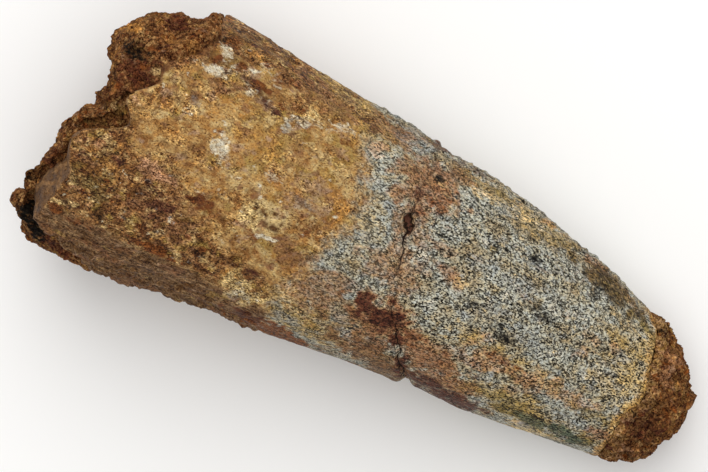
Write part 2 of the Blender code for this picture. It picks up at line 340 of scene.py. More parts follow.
@dataclass
class CarvedSolid:
    """A copy of a solid, remeshed finely enough to be carved and painted.

    Attributes:
        node: Name of the solid.
        name: Name of the piece that takes its place.
        slot: The name of a material slot, which is not used.
        grid: Width of the remesh's squares.
        rounding: How many times the remesh is smoothed.
        slack: How far inside the solid's box it stays in places.
        give: How softly it is held inside that box, along each axis.
    """

    node: str
    name: str
    slot: str
    grid: float
    rounding: int
    slack: float = 0.4
    give: tuple[float, float, float] = (0.001, 0.001, 0.001)

    def fine_copy(self) -> bpy.types.Object:
        """Copies the solid, welds it and remeshes it.

        Returns:
            The piece, still smooth and unpainted.
        """
        bm = bmesh.new()
        bm.from_mesh(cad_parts[self.node].data)
        bmesh.ops.remove_doubles(bm, verts=bm.verts[:], dist=WELD * MM)
        mesh = bpy.data.meshes.new(self.name)
        bm.to_mesh(mesh)
        bm.free()
        piece = bpy.data.objects.new(self.name, mesh)
        bpy.context.scene.collection.objects.link(piece)
        remesh = piece.modifiers.new("remesh", "REMESH")
        remesh.mode = "VOXEL"
        remesh.voxel_size = self.grid * MM
        graph = bpy.context.evaluated_depsgraph_get()
        fine = bpy.data.meshes.new_from_object(piece.evaluated_get(graph))
        piece.modifiers.clear()
        piece.data = fine
        fine.name = self.name
        bpy.data.meshes.remove(mesh)
        bm = bmesh.new()
        bm.from_mesh(fine)
        for _ in range(self.rounding):
            bmesh.ops.smooth_vert(
                bm, verts=bm.verts[:], factor=0.5, use_axis_x=True, use_axis_y=True, use_axis_z=True
            )
        bm.to_mesh(fine)
        bm.free()
        return piece

    def read(self, mesh: bpy.types.Mesh) -> tuple[np.ndarray, np.ndarray]:
        """Where the mesh's vertices are, in millimetres, and which way they face.

        Args:
            mesh: The piece's mesh.

        Returns:
            Points and normals, one a row.
        """
        points = np.empty(len(mesh.vertices) * 3)
        mesh.vertices.foreach_get("co", points)
        normals = np.empty(len(mesh.vertices) * 3)
        mesh.vertex_normals.foreach_get("vector", normals)
        return points.reshape(-1, 3) / MM, normals.reshape(-1, 3)

    def write(self, mesh: bpy.types.Mesh, points: np.ndarray) -> None:
        """Moves the mesh's vertices, and holds them inside the solid's box without flats at its sides.

        Args:
            mesh: The piece's mesh.
            points: New places in millimetres.
        """
        low, high = (np.array(corner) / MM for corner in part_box(self.node))
        give = np.array(self.give)
        inside = high - give * np.logaddexp(0.0, (high - points) / give)
        inside = low + give * np.logaddexp(0.0, (inside - low) / give)
        slack = self.slack * np.abs(unevenness(points, size=1.6, seed=41.0, octaves=3))[:, None]
        inside = np.clip(inside, low + slack * np.array([1.0, 1.0, 0.0]), high - slack)
        mesh.vertices.foreach_set("co", (inside * MM).ravel())
        mesh.update()
        mesh.shade_smooth()

    def paint(self, mesh: bpy.types.Mesh, name: str, values: np.ndarray) -> None:
        """Puts a value for each vertex on the mesh, for its finish to read.

        Args:
            mesh: The piece's mesh.
            name: The attribute's name.
            values: One value for each vertex.
        """
        mesh.attributes.new(name, "FLOAT", "POINT").data.foreach_set("value", values.astype(np.float32))

    def settle(self, piece: bpy.types.Object, material: bpy.types.Material) -> None:
        """Gives the piece its finish and its place in the frame.

        Args:
            piece: The finished piece.
            material: Its finish.
        """
        piece.data.materials.clear()
        piece.data.materials.append(material)
        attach(piece, "root")
        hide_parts(self.node)
        LOG.info("%s: %d faces", self.name, len(piece.data.polygons))


def near(points: np.ndarray, node: str) -> np.ndarray:
    """How far each point is from another solid.

    Args:
        points: Places in millimetres.
        node: The other solid.

    Returns:
        Distances in millimetres, none over REACH.
    """
    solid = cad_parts[node].data
    corners = [vertex.co / MM for vertex in solid.vertices]
    tree = BVHTree.FromPolygons(corners, [face.vertices[:] for face in solid.polygons])
    found = (tree.find_nearest(place, REACH)[3] for place in points.tolist())
    return np.array([REACH if distance is None else distance for distance in found])


# Stains that are strewn over the tooth
TOOTH_BLOOMS = strewn({
    Zone.TAN: [
        (Mineral.KHAKI, 2.6, 0.05, 0.6), (Mineral.ORANGE, 2.2, 0.15, 0.45), (Mineral.CREAM, 1.6, 0.12, 0.5),
        (Mineral.PINK, 1.1, 0.2, 0.55), (Mineral.RUSSET, 1.0, 0.15, 0.55), (Mineral.UMBER, 0.7, 0.3, 0.5),
        (Mineral.CHALK, 0.9, 0.4, 0.55),
    ],
    Zone.BROWN: [
        (Mineral.KHAKI, 1.3, 0.05, 0.65), (Mineral.UMBER, 1.0, 0.05, 0.65), (Mineral.RUST, 1.0, 0.25, 0.6),
        (Mineral.CREAM, 1.3, 0.1, 0.55), (Mineral.BLACK, 1.0, 0.25, 0.5), (Mineral.MAROON, 0.9, 0.35, 0.6),
        (Mineral.CHALK, 0.6, 0.38, 0.55), (Mineral.SALMON, 1.3, 0.2, 0.5), (Mineral.ORANGE, 1.1, 0.3, 0.5),
        (Mineral.SLATE, 0.7, 0.4, 0.5),
    ],
    Zone.SIDE: [
        (Mineral.RUSSET, 1.4, 0.1, 0.55, 2.5), (Mineral.UMBER, 1.0, 0.1, 0.6, 3.0),
        (Mineral.PINK, 0.9, 0.25, 0.5, 3.0), (Mineral.KHAKI, 1.8, 0.25, 0.5, 2.0),
    ],
    Zone.CROWN: [
        (Mineral.RUSSET, 2.0, 0.3, 0.45, 2.0), (Mineral.SLATE, 1.5, 0.15, 0.5, 1.8),
        (Mineral.KHAKI, 1.6, 0.3, 0.38, 2.4), (Mineral.CREAM, 1.0, 0.35, 0.4, 2.4),
        (Mineral.BLACK, 0.8, 0.3, 0.5, 1.6),
    ],
})
# Stains so deep that the enamel is mostly gone there
DEEP_STAINS = placed({
    Mineral.RUSSET: [
        (1.6, 8.0, 4.2, 3.6, 0.62, -15), (1.8, 4.2, 2.6, 3.0, 0.5), (2.4, -1.0, 3.0, 2.6, 0.5, -30),
        (3.2, -6.2, 4.4, 2.6, 0.75, -5), (9.5, -7.8, 5.5, 1.6, 0.65, -8), (12.5, -9.6, 5.0, 1.2, 0.6, -3),
        (-4.0, -7.0, 3.5, 3.0, 0.5), (7.6, 0.7, 2.6, 0.9, 0.45, -15), (-4.0, 11.5, 5.0, 1.3, 0.5, -5),
    ],
    Mineral.KHAKI: [(5.5, 10.8, 4.0, 1.2, 0.4, -8)],
    Mineral.UMBER: [(5.5, -10.3, 6.5, 1.6, 0.65, -3), (24.0, 7.3, 5.5, 1.4, 0.6, -12)],
    Mineral.SALMON: [(16.0, -5.2, 4.6, 1.2, 0.4, -5), (23.5, -5.2, 4.0, 1.4, 0.4, -5)],
})
# Stains of the tooth, by where they are: its broad tones, the root's tan top, its brown lower part, the
# middle and the crown
BROAD_STAINS = placed({
    Mineral.UMBER: [
        (-22.5, 10.6, 3.2, 2.0, 0.45), (-16.5, 9.6, 3.0, 1.2, 0.4, -15), (-31.5, 0.5, 3.5, 2.6, 0.45),
        (-29.0, -5.5, 4.5, 3.5, 0.42), (-22.0, 13.6, 6, 1.1, 0.6, -3), (-1.0, 12.3, 5.5, 0.8, 0.45, -2),
    ],
    Mineral.CREAM: [
        (-11.0, -10.2, 3.0, 1.4, 0.9, -5), (-6.0, -9.0, 3.5, 1.2, 0.4, -5), (-9.0, 12.6, 3.2, 0.9, 0.5, -5),
    ],
    Mineral.ORANGE: [(-29.4, -5.0, 2.8, 1.8, 0.48)],
    Mineral.RUSSET: [
        (-22.0, -6.5, 5, 3, 0.52), (-28.5, 9.0, 3.5, 2.5, 0.47), (-13.0, 11.8, 6, 1.6, 0.57, -5),
        (-3.0, -6.0, 4, 3, 0.47), (1.5, -8.5, 6, 3.5, 0.43), (3.0, 1.0, 3.5, 4.5, 0.28),
    ],
    Mineral.KHAKI: [
        (-8.0, 11.3, 6, 1.6, 0.6, -5), (-9.0, 12.7, 3.5, 1.2, 0.7, -5), (-16.0, 6.5, 5, 2.5, 0.5),
        (-3.0, -10.0, 5, 2, 0.55), (18.0, -5.0, 9, 1.6, 0.5, -5), (28.5, 0.5, 3.5, 6, 0.5),
        (12.0, 10.0, 9, 1.4, 0.45, -12), (20.0, -8.5, 8, 1.5, 0.6),
    ],
    Mineral.PINK: [(-9.0, 1.5, 3.5, 3, 0.4)],
    Mineral.OLIVE: [(24.0, 7.0, 6, 1.6, 0.5, -12)],
    Mineral.BLACK: [(24.0, 6.6, 6.5, 2.0, 0.48, -12), (-1.5, -9.0, 4.55, 1.69, 0.32)],
})
ROOT_STAINS = placed({
    Mineral.ORANGE: [
        (-20.3, 6.6, 3.2, 1.7, 0.68, 20), (-16.0, 4.6, 3.4, 2, 0.47), (-19.7, 12.6, 1.8, 0.6, 0.59),
        (-25.5, 1.4, 3, 1.6, 0.42, 10), (-12.5, 0.6, 2.6, 1.2, 0.51, -10),
        (-8.2, -5.4, 2.5, 1.2, 0.51, -20), (-5.2, 1.5, 2.1, 1, 0.68, -70),
    ],
    Mineral.CREAM: [
        (-20.3, 6.4, 2.6, 1.2, 0.46, 15), (-15.9, 7.3, 0.7, 1.1, 0.55), (-16.2, 0.2, 2.2, 1, 0.51),
        (-12.0, -2.2, 2.8, 2.0, 1.0, 15, 0.25), (-6.4, 5.0, 2, 1.2, 0.55, -20),
        (-10.0, 6.0, 1.8, 0.8, 0.51),
    ],
    Mineral.SLATE: [
        (-23.7, 5.6, 0.8, 0.5, 0.45, -40), (-22.0, 9.9, 1.2, 0.5, 0.4, -20),
        (-14.0, 7.4, 0.7, 0.8, 0.44, 20), (-12.9, 8.3, 1.4, 0.6, 0.4), (-9.0, 0.9, 1.5, 1.1, 0.4),
    ],
    Mineral.UMBER: [
        (-24.1, 6.0, 0.5, 0.5, 0.6), (-23.6, 10.5, 1.4, 0.4, 0.7, -20), (-18.6, 9.4, 3.2, 0.9, 0.6, -22),
        (-13.3, -1.6, 0.5, 0.3, 0.78, 30, 0.6), (-12.3, -1.8, 0.6, 0.35, 0.8, -20, 0.6),
        (-11.3, -1.4, 0.35, 0.3, 0.76, 0, 0.6), (-11.7, -2.9, 0.5, 0.3, 0.8, 0, 0.6),
        (-10.7, -2.8, 0.75, 0.4, 0.82, -20, 0.6), (-13.0, -3.0, 0.3, 0.25, 0.74, 0, 0.6),
        (-10.2, -2.1, 0.3, 0.3, 0.72, 0, 0.6),
    ],
    Mineral.CHALK: [
        (-23.4, 9.3, 2.1, 0.7, 0.6, -2), (-23.1, 11.5, 1.6, 0.7, 0.6, -30),
        (-21.6, 10.4, 0.8, 0.6, 0.5, 10), (-17.7, 11.3, 2.25, 0.75, 0.41, -25),
        (-18.9, 9.1, 1.25, 0.62, 0.44, -20), (-17.2, 8.8, 1.12, 0.62, 0.44, -20),
        (-13.9, 7.6, 0.88, 1.12, 0.52, 20), (-12.7, 8.5, 1.5, 0.62, 0.48, 20),
        (-10.6, 9.0, 1.38, 0.62, 0.44), (-8.8, 9.6, 2.12, 0.75, 0.48, 10),
        (-19.2, 2.6, 1.5, 1.2, 0.64, -50), (-17.5, 0.8, 1.5, 0.62, 0.37, -40),
        (-13.1, 1.9, 1.25, 0.88, 0.44), (-11.2, -4.1, 1.9, 0.35, 0.6, 15),
    ],
    Mineral.MAROON: [
        (-18.9, 9.7, 1.9, 0.5, 0.55, -22), (-16.6, 8.3, 1.3, 0.45, 0.6, -25),
        (-16.0, 8.1, 0.96, 0.54, 0.62),
    ],
    Mineral.PINK: [
        (-19.9, 10.7, 1.3, 0.9, 0.6), (-16.9, 8.4, 1.5, 0.7, 0.64, -15), (-8.3, 2.9, 1.6, 1.2, 0.56),
    ],
    Mineral.RUST: [
        (-18.0, 9.9, 1.8, 0.5, 0.75, -12), (-20.9, 10.8, 0.9, 0.6, 0.65),
        (-23.6, 10.6, 0.88, 0.44, 0.66, 60), (-15.9, 11.3, 1.98, 0.77, 0.49),
        (-23.0, 12.9, 1.98, 0.77, 0.53), (-26.0, 10.4, 1.98, 0.99, 0.49), (-15.3, 9.2, 0.99, 0.66, 0.57),
        (-13.5, 10.3, 1.76, 0.66, 0.53, -20), (-8.1, 8.4, 1.1, 0.5, 0.57),
        (-7.9, -1.1, 2.09, 1.43, 0.49, -20), (-12.8, -4.3, 1.43, 0.39, 0.61, -20),
        (-15.3, -1.9, 1.1, 0.44, 0.49, -50),
    ],
    Mineral.RUSSET: [
        (-22.0, 7.9, 1.8, 0.7, 0.62, -10), (-12.0, 5.5, 1.6, 1, 0.47), (-9.9, -3.6, 1.7, 0.4, 0.75, 30),
        (-8.2, -4.5, 2.5, 1.5, 0.62, -20),
    ],
})
BROWN_SIDE_STAINS = placed({
    Mineral.MAROON: [
        (-18.7, -3.5, 2.04, 0.84, 0.47), (-21.7, -5.8, 2.16, 0.84, 0.58, 8),
        (-22.4, -7.0, 1.08, 0.72, 0.47), (-28.8, -3.5, 1.2, 0.72, 0.51),
        (-31.7, -4.8, 1.56, 0.72, 0.51, -10), (-30.7, -5.9, 0.72, 0.6, 0.55),
        (-10.6, -7.9, 1.44, 0.54, 0.58, -10), (-23.6, -4.4, 1.6, 0.5, 0.55, -8),
        (-9.5, -12.3, 2.4, 0.48, 0.58),
    ],
    Mineral.RUST: [
        (-18.6, -3.6, 2.09, 0.88, 0.66), (-21.6, -10.2, 2.5, 0.45, 0.9, -2),
        (-32.1, -10.7, 1.1, 0.55, 0.74), (-29.0, -10.8, 1.98, 0.77, 0.49), (-6.5, -12.5, 6.05, 0.9, 0.66),
    ],
    Mineral.BLACK: [
        (-27.4, -9.3, 1.04, 0.91, 0.54), (-24.4, -8.0, 0.78, 0.52, 0.4), (-16.7, -8.4, 0.91, 0.65, 0.47),
    ],
    Mineral.OLIVE: [(-29.7, -6.9, 3, 2, 0.45)],
    Mineral.CREAM: [
        (-28.7, -5.0, 0.9, 0.5, 0.59), (-28.7, -8.0, 0.8, 0.8, 0.59), (-26.3, -6.0, 0.7, 0.5, 0.51),
    ],
    Mineral.ORANGE: [(-12.9, -9.2, 1.6, 0.8, 0.68)],
    Mineral.SLATE: [(-11.2, -10.8, 1.8, 0.8, 0.4)],
    Mineral.CHALK: [
        (-11.0, -10.3, 2.0, 0.8, 0.47), (-19.4, -2.6, 1.38, 0.62, 0.44),
        (-17.0, -1.9, 1.38, 0.62, 0.37, -20),
    ],
    Mineral.SALMON: [(-24.1, -2.9, 2.8, 1.0, 0.75, -12)],
})
MIDDLE_STAINS = placed({
    Mineral.RUST: [
        (3.4, 7.0, 1.76, 1.32, 0.49), (6.9, -6.3, 1.76, 1.76, 0.41), (3.0, -12.4, 5.5, 0.66, 0.49),
    ],
    Mineral.MAROON: [
        (1.2, 7.0, 0.96, 1.08, 0.55), (1.6, 5.4, 1.2, 0.96, 0.43), (-6.4, 11.2, 1.8, 0.6, 0.47, -25),
        (1.2, 12.6, 1.68, 0.84, 0.55), (2.8, -6.0, 3.4, 1.6, 0.67, -8), (4.8, -5.6, 0.96, 1.08, 0.62),
        (5.6, -7.7, 0.96, 1.08, 0.62), (7.2, -9.9, 0.96, 1.32, 0.62, 15), (10.6, -10.5, 3.6, 0.96, 0.62),
        (14.0, -10.6, 4.08, 0.96, 0.66),
    ],
    Mineral.CREAM: [(2.8, 9.0, 1.2, 0.7, 0.51), (9.0, 0.5, 1.2, 0.6, 0.51, -10), (-1.8, 1.6, 3, 2.6, 0.34)],
    Mineral.BLACK: [(2.4, 9.4, 0.78, 0.52, 0.61)],
    Mineral.RUSSET: [
        (-1.2, 8.8, 1.9, 0.8, 0.62, -10), (4.7, 10.6, 2, 0.7, 0.57, -5), (1.2, -1.1, 2.4, 1.8, 0.43, -40),
        (8.9, -8.2, 2.8, 1.2, 0.66), (4.9, 0.2, 2.4, 0.9, 0.43, -8), (7.4, 0.9, 2, 0.8, 0.57, -15),
        (3.6, 2.6, 2, 1.4, 0.38),
    ],
    Mineral.PINK: [(-4.9, 9.2, 1.2, 1.3, 0.6, -40)],
    Mineral.UMBER: [(3.6, -7.4, 3.0, 2.5, 0.5)],
})
CROWN_STAINS = placed({
    Mineral.SALMON: [
        (14.9, -5.3, 3, 1.0, 0.44, -6), (20.9, -5.3, 3.4, 0.9, 0.42, -5), (25.8, -5.1, 2.2, 0.9, 0.45, -5),
        (14.2, -3.4, 1, 0.7, 0.42), (26.5, 1.4, 1, 0.6, 0.45, -20), (23.9, -0.3, 1, 0.8, 0.42),
    ],
    Mineral.RUSSET: [
        (13.0, -6.4, 3.4, 0.8, 0.52, -4), (19.6, -5.8, 2.6, 0.7, 0.52, -5), (29.0, -7.3, 1.8, 0.6, 0.62),
        (21.5, 8.7, 2.4, 0.6, 0.57, -10),
    ],
    Mineral.RUST: [(17.6, -5.0, 3.0, 0.6, 0.5, -5)],
    Mineral.PINK: [(24.2, 1.2, 1.6, 0.9, 0.44, -20)],
    Mineral.OLIVE: [
        (10.5, 5.1, 0.8, 0.45, 0.59), (29.2, 4.7, 1.8, 0.8, 0.59, -15), (18.7, -8.4, 3, 0.7, 0.54),
        (20.9, -9.2, 4, 0.7, 0.68), (28.6, -8.5, 1.8, 0.7, 0.68), (27.8, -6.0, 2.1, 0.7, 0.54),
        (6.4, 10.9, 2.2, 0.5, 0.45, -5), (8.7, 10.9, 1.4, 0.4, 0.45), (16.5, 9.4, 3.6, 0.8, 0.45, -10),
    ],
    Mineral.CREAM: [
        (29.8, -1.5, 1.8, 3, 0.38), (29.6, 4.0, 1.6, 0.8, 0.42, -15), (24.0, -10.1, 5, 0.4, 0.55),
        (7.3, 10.3, 2.4, 0.9, 0.42, -12), (11.6, 9.8, 2.2, 0.8, 0.45, -12),
    ],
    Mineral.BLACK: [
        (15.9, -2.6, 1.5, 0.8, 0.58, -10), (14.6, -2.0, 1.0, 0.65, 0.54),
        (11.9, -0.9, 1.6, 0.65, 0.54, -15), (15.1, 6.0, 1.04, 0.65, 0.5, -10),
        (16.7, -4.9, 0.52, 0.78, 0.47), (18.6, 1.1, 1.9, 0.9, 0.54, -10), (22.6, -0.7, 0.91, 0.45, 0.5),
        (25.1, -1.2, 0.78, 0.39, 0.5), (29.2, -1.2, 0.65, 0.45, 0.47), (25.5, -7.2, 0.78, 0.52, 0.5),
        (21.8, -6.7, 1.04, 0.39, 0.47), (24.2, 7.8, 4.42, 1.04, 0.43, -12),
    ],
    Mineral.MAROON: [(20.0, 6.9, 2.16, 1.2, 0.35, -12), (5.2, 12.0, 2.88, 0.6, 0.47, -5)],
    Mineral.SLATE: [
        (10.6, 3.4, 2.4, 0.8, 0.48), (15.1, 3.2, 2.6, 0.9, 0.48), (12.9, 6.5, 1.8, 0.7, 0.44),
        (12.6, -1.2, 2, 0.8, 0.4), (17.2, -1.7, 3.0, 1.1, 0.45, -5), (27.1, -1.1, 1, 0.5, 0.52),
        (29.6, -4.4, 1.1, 0.6, 0.48), (24.4, -7.5, 1.5, 0.6, 0.48), (26.7, -7.3, 1.5, 0.6, 0.48),
        (16.0, -7.7, 2, 0.6, 0.44),
    ],
    Mineral.TEAL: [(22.5, -9.2, 2.8, 0.5, 0.59), (26.2, -8.8, 3.4, 0.6, 0.72)],
    Mineral.CHALK: [
        (6.8, 10.2, 1.6, 0.6, 0.46, -12), (9.4, 9.8, 1.2, 0.5, 0.44, -12), (14.6, 9.5, 1.4, 0.6, 0.48, -12),
    ],
    Mineral.ORANGE: [(15.2, 10.3, 1.2, 0.5, 0.51)],
})
# Where the grey enamel starts, as Y and X
ENAMEL_EDGE = [
    (-13.0, -8.0), (-9.0, -7.0), (-6.5, -6.0), (-3.0, -5.5), (0.0, -4.2), (3.0, -4.4), (6.0, -4.6),
    (9.0, -5.4), (13.0, -7.0),
]
# Where the root's tan top turns brown, as X and Y
BROWN_EDGE = [
    (-34.0, 3.5), (-30.0, 0.5), (-26.0, -2.0), (-22.0, -3.6), (-17.0, -5.4), (-12.0, -8.0), (-7.0, -10.5),
    (0.0, -12.5),
]
# The crack, as Y and X, and how open it is, as Y and a share of what is usual
CRACK = [(-11.2, 8.4), (-10.0, 7.2), (-7.4, 5.5), (-5.1, 4.1), (-0.4, 2.7), (3.7, 1.5), (12.1, 1.3)]
CRACK_OPENNESS = [
    (-12.0, 1.6), (-9.0, 1.2), (-6.0, 0.9), (-2.0, 0.4), (0.0, 0.9), (2.0, 1.2), (5.0, 0.9), (8.0, 0.2),
    (12.0, 0.5),
]


@dataclass
class FossilTooth:
    """The tooth: tan dentine at the root and grey enamel on the crown, worn, stained and cracked.

    Attributes:
        solid: The remeshed copy of its solid.
        enamel_wander: How far the enamel's edge wanders.
        brown_wander: How far the edge of the root's tan top wanders.
        side_from: Y between which the root's top turns into its streaked side.
        low_from: Heights between which its underside starts. Part of its darkness is painted shade.
        swelling_height: How far its broad swellings stand out.
        stria_width: Width of the fine ridges that run along it.
        stria_height: How far they stand out.
        rubble_height: How rough the root's side and underside are.
        chip_height: How far the crown's upper edge is chipped in and out.
        pit_depth: How deep the dentine's small pits are. The enamel's are a fifth of that.
        crack_wander: How far the crack wanders.
        crack_width: About half the width of its cut.
        crack_depth: How deep it is.
        hollow: Middle of the place that is broken out at the crack, as X and Y.
        hollow_size: Half its length and width.
        hollow_sway: How far its two ends bend apart, which makes it S-shaped.
        hollow_depth: Its depth.
        dents: Small pits and lumps of its own.
    """

    solid: CarvedSolid = field(
        default_factory=lambda: CarvedSolid("tooth", "worn_tooth", "fossil_tooth", grid=0.28, rounding=3)
    )
    enamel_wander: float = 1.8
    brown_wander: float = 2.4
    side_from: tuple[float, float] = (-9.8, -11.4)
    low_from: tuple[float, float] = (9.5, 6.0)
    swelling_height: float = 0.14
    stria_width: float = 0.6
    stria_height: float = 0.06
    rubble_height: float = 0.5
    chip_height: float = 0.3
    pit_depth: float = 0.3
    crack_wander: float = 0.45
    crack_width: float = 0.16
    crack_depth: float = 0.3
    hollow: tuple[float, float] = (1.5, 3.8)
    hollow_size: tuple[float, float] = (0.62, 1.05)
    hollow_sway: float = 0.3
    hollow_depth: float = 0.7
    dents: tuple[Dent, ...] = (
        Dent(8.7, -12.2, 0.5, 1.2, -0.7),
        Dent(7.4, -12.0, 0.8, 0.8, 0.25),
        Dent(1.4, 12.6, 1.0, 0.7, 0.15),
        Dent(3.1, 12.6, 0.6, 0.8, -0.15),
        Dent(-26.3, 15.1, 0.8, 0.9, -1.2),
        Dent(-19.3, -14.4, 1.6, 1.2, -0.35),
        Dent(-13.3, -13.6, 1.0, 1.0, -0.3),
    )

    def build(self, material: bpy.types.Material) -> bpy.types.Object:
        """Makes the tooth.

        Args:
            material: Its finish.

        Returns:
            The finished piece.
        """
        piece = self.solid.fine_copy()
        points, normals = self.solid.read(piece.data)
        self.paint(piece.data, points, normals)
        carved, relief = self.carved(points, normals)
        self.solid.paint(piece.data, "relief", relief)
        self.solid.write(piece.data, carved)
        self.solid.settle(piece, material)
        return piece

    def enamel(self, points: np.ndarray) -> np.ndarray:
        """How much enamel covers each point.

        Args:
            points: Places in millimetres.

        Returns:
            Shares from 0 on the root's dentine to 1 on the crown.
        """
        places, starts = zip(*ENAMEL_EDGE)
        edge = np.interp(points[:, 1], places, starts)
        ragged = self.enamel_wander * unevenness(points, size=2.4, seed=5.0, octaves=4)
        return eased(-2.4, 2.2, points[:, 0] - edge + ragged)

    def tip_strip(self, points: np.ndarray) -> np.ndarray:
        """How much of the enamel's grey is gone at each point beside the tip's sandstone, from 0 to 1."""
        gap = near(points, "tip_sandstone") + 0.5 * unevenness(points, size=0.9, seed=8.0, octaves=3)
        return eased(1.8, 0.4, gap)

    def worn_off(self, points: np.ndarray) -> np.ndarray:
        """How much of the enamel's own colour is gone at each point under the deep stains.

        Args:
            points: Places in millimetres.

        Returns:
            Shares from 0 to 1, and 0 on the underside.
        """
        wander = 0.7 * unevenness(points, size=1.6, seed=31.0, octaves=4)
        gone = np.max([stain.share(points[:, :2], wander) for stain in DEEP_STAINS], axis=0)
        return gone * eased(8.0, 11.0, points[:, 2])

    def zones(self, points: np.ndarray, enamel: np.ndarray) -> dict[Zone, np.ndarray]:
        """How much each point belongs to each zone of the tooth.

        Args:
            points: Places in millimetres.
            enamel: How much enamel covers each point.

        Returns:
            Shares for each zone, which add up to one.
        """
        height = points[:, 2] + 0.8 * unevenness(points, size=2.0, seed=10.0, octaves=2)
        ragged = points[:, 1] + 0.5 * unevenness(points, size=1.5, seed=9.0, octaves=3, stretch=3.0)
        # By height the lower part falls in the side zone, whose darker ramp is partly painted shade
        side = np.maximum(eased(*self.side_from, ragged), eased(*self.low_from, height))
        places, borders = zip(*BROWN_EDGE)
        border = np.interp(points[:, 0], places, borders)
        wander = self.brown_wander * unevenness(points, size=3.4, seed=13.0, octaves=5)
        brown = eased(2.6, -2.6, points[:, 1] - border + wander)
        brown = np.maximum(brown, eased(10.8, 12.8, points[:, 1] + wander))
        root = 1 - enamel
        brown = brown * (1 - side)
        return {
            Zone.CROWN: enamel,
            Zone.SIDE: side * root,
            Zone.BROWN: brown * root,
            Zone.TAN: (1 - side - brown).clip(0, 1) * root,
        }

    def crack_offset(self, points: np.ndarray) -> np.ndarray:
        """How far along the tooth each point is from the crack, which wanders a little.

        Args:
            points: Places in millimetres.

        Returns:
            Millimetres, below 0 on the root's side.
        """
        places, middles = zip(*CRACK)
        line = np.interp(points[:, 1], places, middles)
        wander = self.crack_wander * unevenness(points, size=1.6, seed=12.0, octaves=2)
        return points[:, 0] - line + wander

    def openness(self, points: np.ndarray) -> np.ndarray:
        """How open the crack is at each point across the tooth, as a share of what is usual."""
        places, shares = zip(*CRACK_OPENNESS)
        return np.interp(points[:, 1], places, shares)

    def in_hollow(self, points: np.ndarray) -> np.ndarray:
        """How deep each point lies in the place that is broken out at the crack.

        Args:
            points: Places in millimetres.

        Returns:
            Shares from 0 outside it to 1 at its deepest.
        """
        offset = points[:, :2] - np.array(self.hollow)
        offset[:, 0] += self.hollow_sway * np.sin(2.6 * offset[:, 1])
        offset /= np.array(self.hollow_size)
        on_top = eased(10.0, 14.0, points[:, 2])
        ragged = 0.5 * unevenness(points, size=0.6, seed=3.0, octaves=2)
        return on_top * eased(1.15, 0.5, np.hypot(*offset.T) + ragged)

    def carved(self, points: np.ndarray, normals: np.ndarray) -> tuple[np.ndarray, np.ndarray]:
        """The points after weathering: swellings, striae, grains, rubble, chips, pits and the crack.

        Args:
            points: Places in millimetres.
            normals: Which way each point faces.

        Returns:
            New places in millimetres, and how high each stands over its surroundings.
        """
        enamel = self.enamel(points)
        swelling = self.swelling_height * unevenness(points, size=3.5, seed=1.0, octaves=3, stretch=2.0)
        striae = self.stria_height * unevenness(points, self.stria_width, seed=2.0, octaves=2, stretch=9.0)
        grain_height = 0.08 - 0.03 * enamel
        grains = grain_height * unevenness(points, size=0.8, seed=4.0, octaves=3)
        rough = np.maximum(eased(9.0, 5.0, points[:, 2]), eased(-12.0, -13.6, points[:, 1]))
        bare = 1 - enamel
        rubble = self.rubble_height * unevenness(points, size=1.0, seed=15.0, octaves=3) * rough * bare
        edge = enamel * eased(0.5, 0.85, normals[:, 1]) * eased(6.0, 8.0, points[:, 2])
        chips = edge * (self.chip_height * unevenness(points, size=0.9, seed=16.0, octaves=3) - 0.1)
        pitted = eased(0.2, 0.5, unevenness(points, size=1.3, seed=6.0, octaves=3))
        pits = -self.pit_depth * pitted * (1 - 0.8 * enamel)
        crack = np.exp(-((self.crack_offset(points) / self.crack_width) ** 2)) * self.openness(points)
        relief = striae + grains + rubble + chips + pits
        depth = swelling + relief - self.crack_depth * crack - self.hollow_depth * self.in_hollow(points)
        for dent in self.dents:
            depth += dent.lift(points, low=6.0)
        return points + normals * depth[:, None], relief

    def paint(self, mesh: bpy.types.Mesh, points: np.ndarray, normals: np.ndarray) -> None:
        """Paints the masks that the finish reads.

        Args:
            mesh: The tooth's mesh.
            points: Places in millimetres, before carving.
            normals: Which way each point faces.
        """
        enamel = self.enamel(points)
        strip = self.tip_strip(points)
        worn_off = self.worn_off(points)
        # Beside the root the enamel is thin, and the dentine shows through it
        thin = 0.25 * eased(2.0, -1.0, points[:, 0])
        self.solid.paint(mesh, "enamel", enamel * (1 - 0.2 * strip) * (1 - 0.5 * worn_off) * (1 - thin))
        zones = self.zones(points, enamel * (1 - 0.9 * strip) * (1 - 0.75 * worn_off))
        for zone, share in zones.items():
            self.solid.paint(mesh, zone.value, share)
        stains = BROAD_STAINS + DEEP_STAINS + ROOT_STAINS + BROWN_SIDE_STAINS + MIDDLE_STAINS + CROWN_STAINS
        covers = painted(points, stains, TOOTH_BLOOMS, zones)
        covers[Mineral.KHAKI] = np.maximum(covers[Mineral.KHAKI], 0.45 * strip)
        covers[Mineral.RUSSET] = np.maximum(covers[Mineral.RUSSET], 0.35 * strip)
        # The smooth broken face looks away from the tip, and is at the root's end
        broken = eased(-0.35, -0.7, normals[:, 0]) * eased(-20.0, -23.0, points[:, 0])
        self.solid.paint(mesh, "broken", broken)
        for mineral, cover in covers.items():
            self.solid.paint(mesh, mineral.name.lower(), cover * (1 - 0.9 * broken))
        gap = near(points, "root_sandstone") + 1.2 * unevenness(points, size=1.2, seed=14.0, octaves=3)
        crust_width = 0.5 + 1.6 * eased(3.0, 7.0, points[:, 1])
        self.solid.paint(mesh, "crust", eased(1.0, 0.3, gap / crust_width))
        self.solid.paint(mesh, "crack", self.crack_offset(points))
        self.solid.paint(mesh, "openness", self.openness(points))
        self.solid.paint(mesh, "hollow", self.in_hollow(points))


